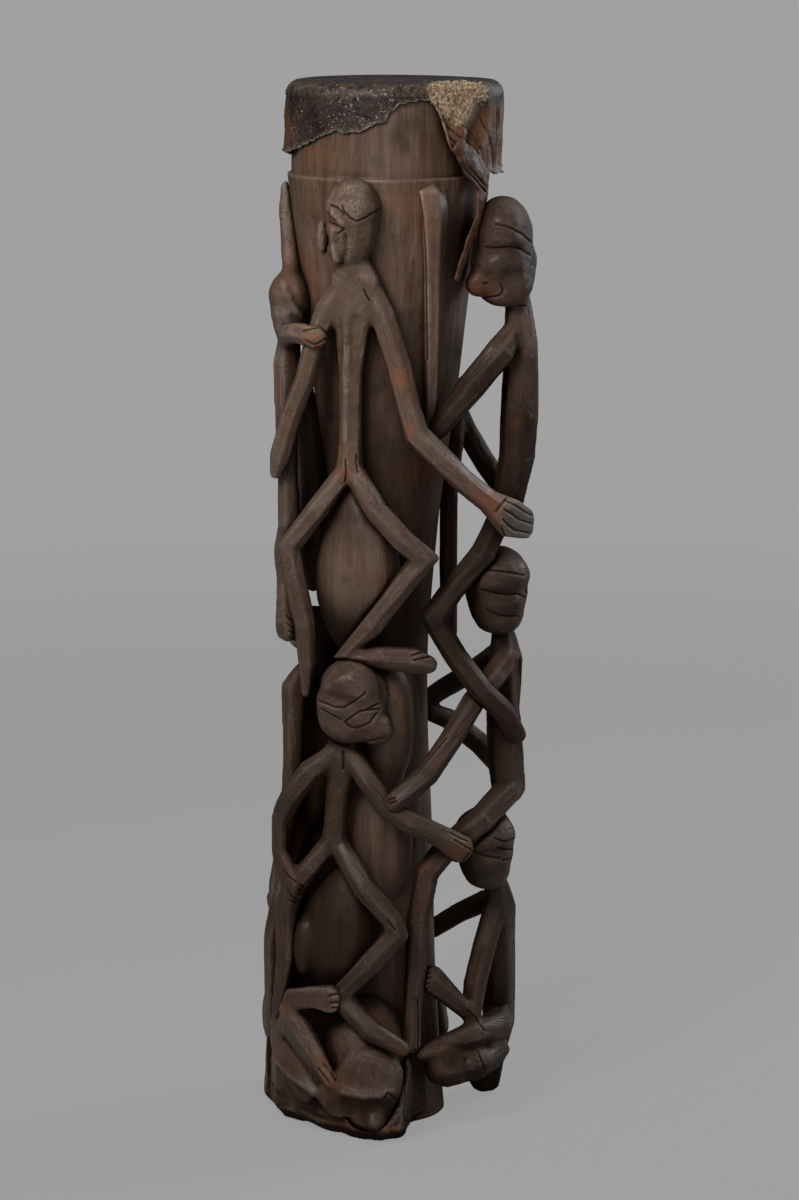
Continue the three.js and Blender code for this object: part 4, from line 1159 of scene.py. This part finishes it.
# The left figures: three climbers that the photograph shows by their edge. Between the two lower ones
# and the shell stands a thin wall of the log.
hidden_voxel = 0.0024
web_levels = 16
web_bite = 0.004
web_thick = 0.007
web_bow = 0.006
# Each wall: degrees from the front, its lowest and highest place, and how far it stands out
middle_wall = (-97, 0.34, 0.62, 0.062)
lower_wall = (-97, 0.12, 0.36, 0.078)


def web(around, low, high, reach):
    """A thin wall of the log between the shell and a column of figures."""
    turn = math.radians(around)
    out = np.array((math.sin(turn), -math.cos(turn), 0))
    side = np.array((math.cos(turn), math.sin(turn), 0))
    levels = shell_outline()
    heights = [level for level, _, _ in levels]
    outer = [far for _, far, _ in levels]
    points = []
    for z in np.linspace(low, high, web_levels):
        near = np.interp(z, heights, outer) - web_bite
        far = near + reach * (1 + 0.25 * noise.noise(Vector((0, 3, z * 22))))
        bow = side * web_bow * noise.noise(Vector((3, 0, z * 14)))
        for radius, way in ((near, -1), (far, -1), (far, 1), (near, 1)):
            points.append(np.array((bore_x, 0, z)) + out * radius + side * web_thick * way + bow)
    ends = [(3, 2, 1, 0), tuple(range(4 * web_levels - 4, 4 * web_levels))]
    return points, grid_faces(web_levels, 4, True) + ends


left_figures = {
    "left_upper_figure": {
        "melts": (((287, 290), 0.030),),
        "shapes": (
            (0.005, -0.003, ((289, 290), (298, 306), (312, 322))),
            (0.005, 0.003, ((283, 283), (292, 300), (303, 316))),
        ),
        "lines": (
            ((303, 331), (312, 328), (322, 327), (335, 328)),
            ((305, 340), (310, 343), (315, 345), (321, 342), (327, 338)),
            ((308, 350), (316, 348), (325, 345)), ((304, 345), (314, 350), (326, 351)),
            ((287, 615), (291, 619), (295, 622), (307, 620)),
            ((286, 622), (291, 626), (296, 628), (307, 627)),
            ((288, 630), (293, 633), (298, 634), (306, 633)),
            ((290, 637), (295, 640), (300, 642), (307, 642)),
        ),
        "worn": (((316, 341), 0.018),),
        "stain_and_shade": ((0.7, 0.3), (1, 0.1)),
    },
    "left_middle_figure": {
        "forms": [web(*middle_wall)],
        "stain_and_shade": ((0.4, 0.5),),
    },
    "left_lower_figure": {
        "forms": [web(*lower_wall)],
        "stain_and_shade": ((0.1, 0.6),),
    },
}

for node, marks in left_figures.items():
    carve_figure(node, hidden_voxel, **marks)


# The back figures: three more climbers of the front's kind, cut from the log like the rest. The
# photograph doesn't show them, so they have no scored lines.
for tier in ("upper", "middle", "lower"):
    carve_figure(f"back_{tier}_figure", hidden_voxel)


# The strip: a torn end of the hide, folded on itself and dried hard as it hangs beside the head of
# the right-hand figure.
strip_voxel = 0.0013
strip_rounds = 3
strip_lumps = (0.0012, 0.012)
strip_folds = (((462, 165), (474, 178), (486, 192)), ((470, 168), (482, 182), (492, 192)))
strip_fold_width, strip_fold_depth = 0.0016, 0.002
strip_ruddy = 0.5
strip = carved("folded_strip", "hide_strip", strip_voxel, strip_rounds)
lumps(strip, *strip_lumps)
strip_size = len(strip.data.vertices)
add_attribute(strip, "torn", np.zeros(strip_size))
# The scored fold lines are painted dark as shade by the hide's material
add_attribute(strip, "cut", score(strip, strip_folds, strip_fold_width, strip_fold_depth))
add_attribute(strip, "hair", np.zeros(strip_size))
add_attribute(strip, "ruddy", np.full(strip_size, strip_ruddy))
strip.data.materials.append(hide.data.materials[0])
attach(strip, "root")
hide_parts("hide_strip")


# The foot: the lobes in which the log ends, left rough from the adze, split by drying and rubbed
# red-brown where they meet the floor.
base_voxel = 0.0024
base_rounds = 10
base_lumps = (0.0035, 0.05)
base_knife = (0.001, 0.016)
base_darkening = ((0, 0.3),)
base_lines = (
    ((262, 1052), (268, 1075), (278, 1095)), ((300, 1108), (318, 1116), (336, 1122)),
    ((340, 1128), (352, 1134), (366, 1133)), ((403, 1062), (405, 1090), (404, 1118)),
    ((414, 1062), (416, 1090), (414, 1116)), ((424, 1060), (426, 1085), (424, 1105)),
)
base_worn = (((342, 1126), 0.022), ((357, 1130), 0.016), ((300, 1118), 0.014), ((390, 1134), 0.012))
base_marks = {
    "front_base_lobe": (base_lines, base_worn),
    "left_base_lobe": ((), ()),
    "back_base_lobe": ((), ()),
}
base_wood = wood("base_wood", pale=0.4, grey=0.4, orange=0.5)

for node, (lines, worn) in base_marks.items():
    piece = carved("carved_" + node, node, base_voxel, base_rounds)
    add_attribute(piece, "grain", limb_grain(piece, node))
    lumps(piece, *base_lumps)
    knife_work(piece, *base_knife)
    flat = coordinates(piece)
    flat[:, 2] = np.maximum(flat[:, 2], floor_z)
    set_coordinates(piece, flat)
    finish_carving(piece, node, base_wood, lines, worn, base_darkening)
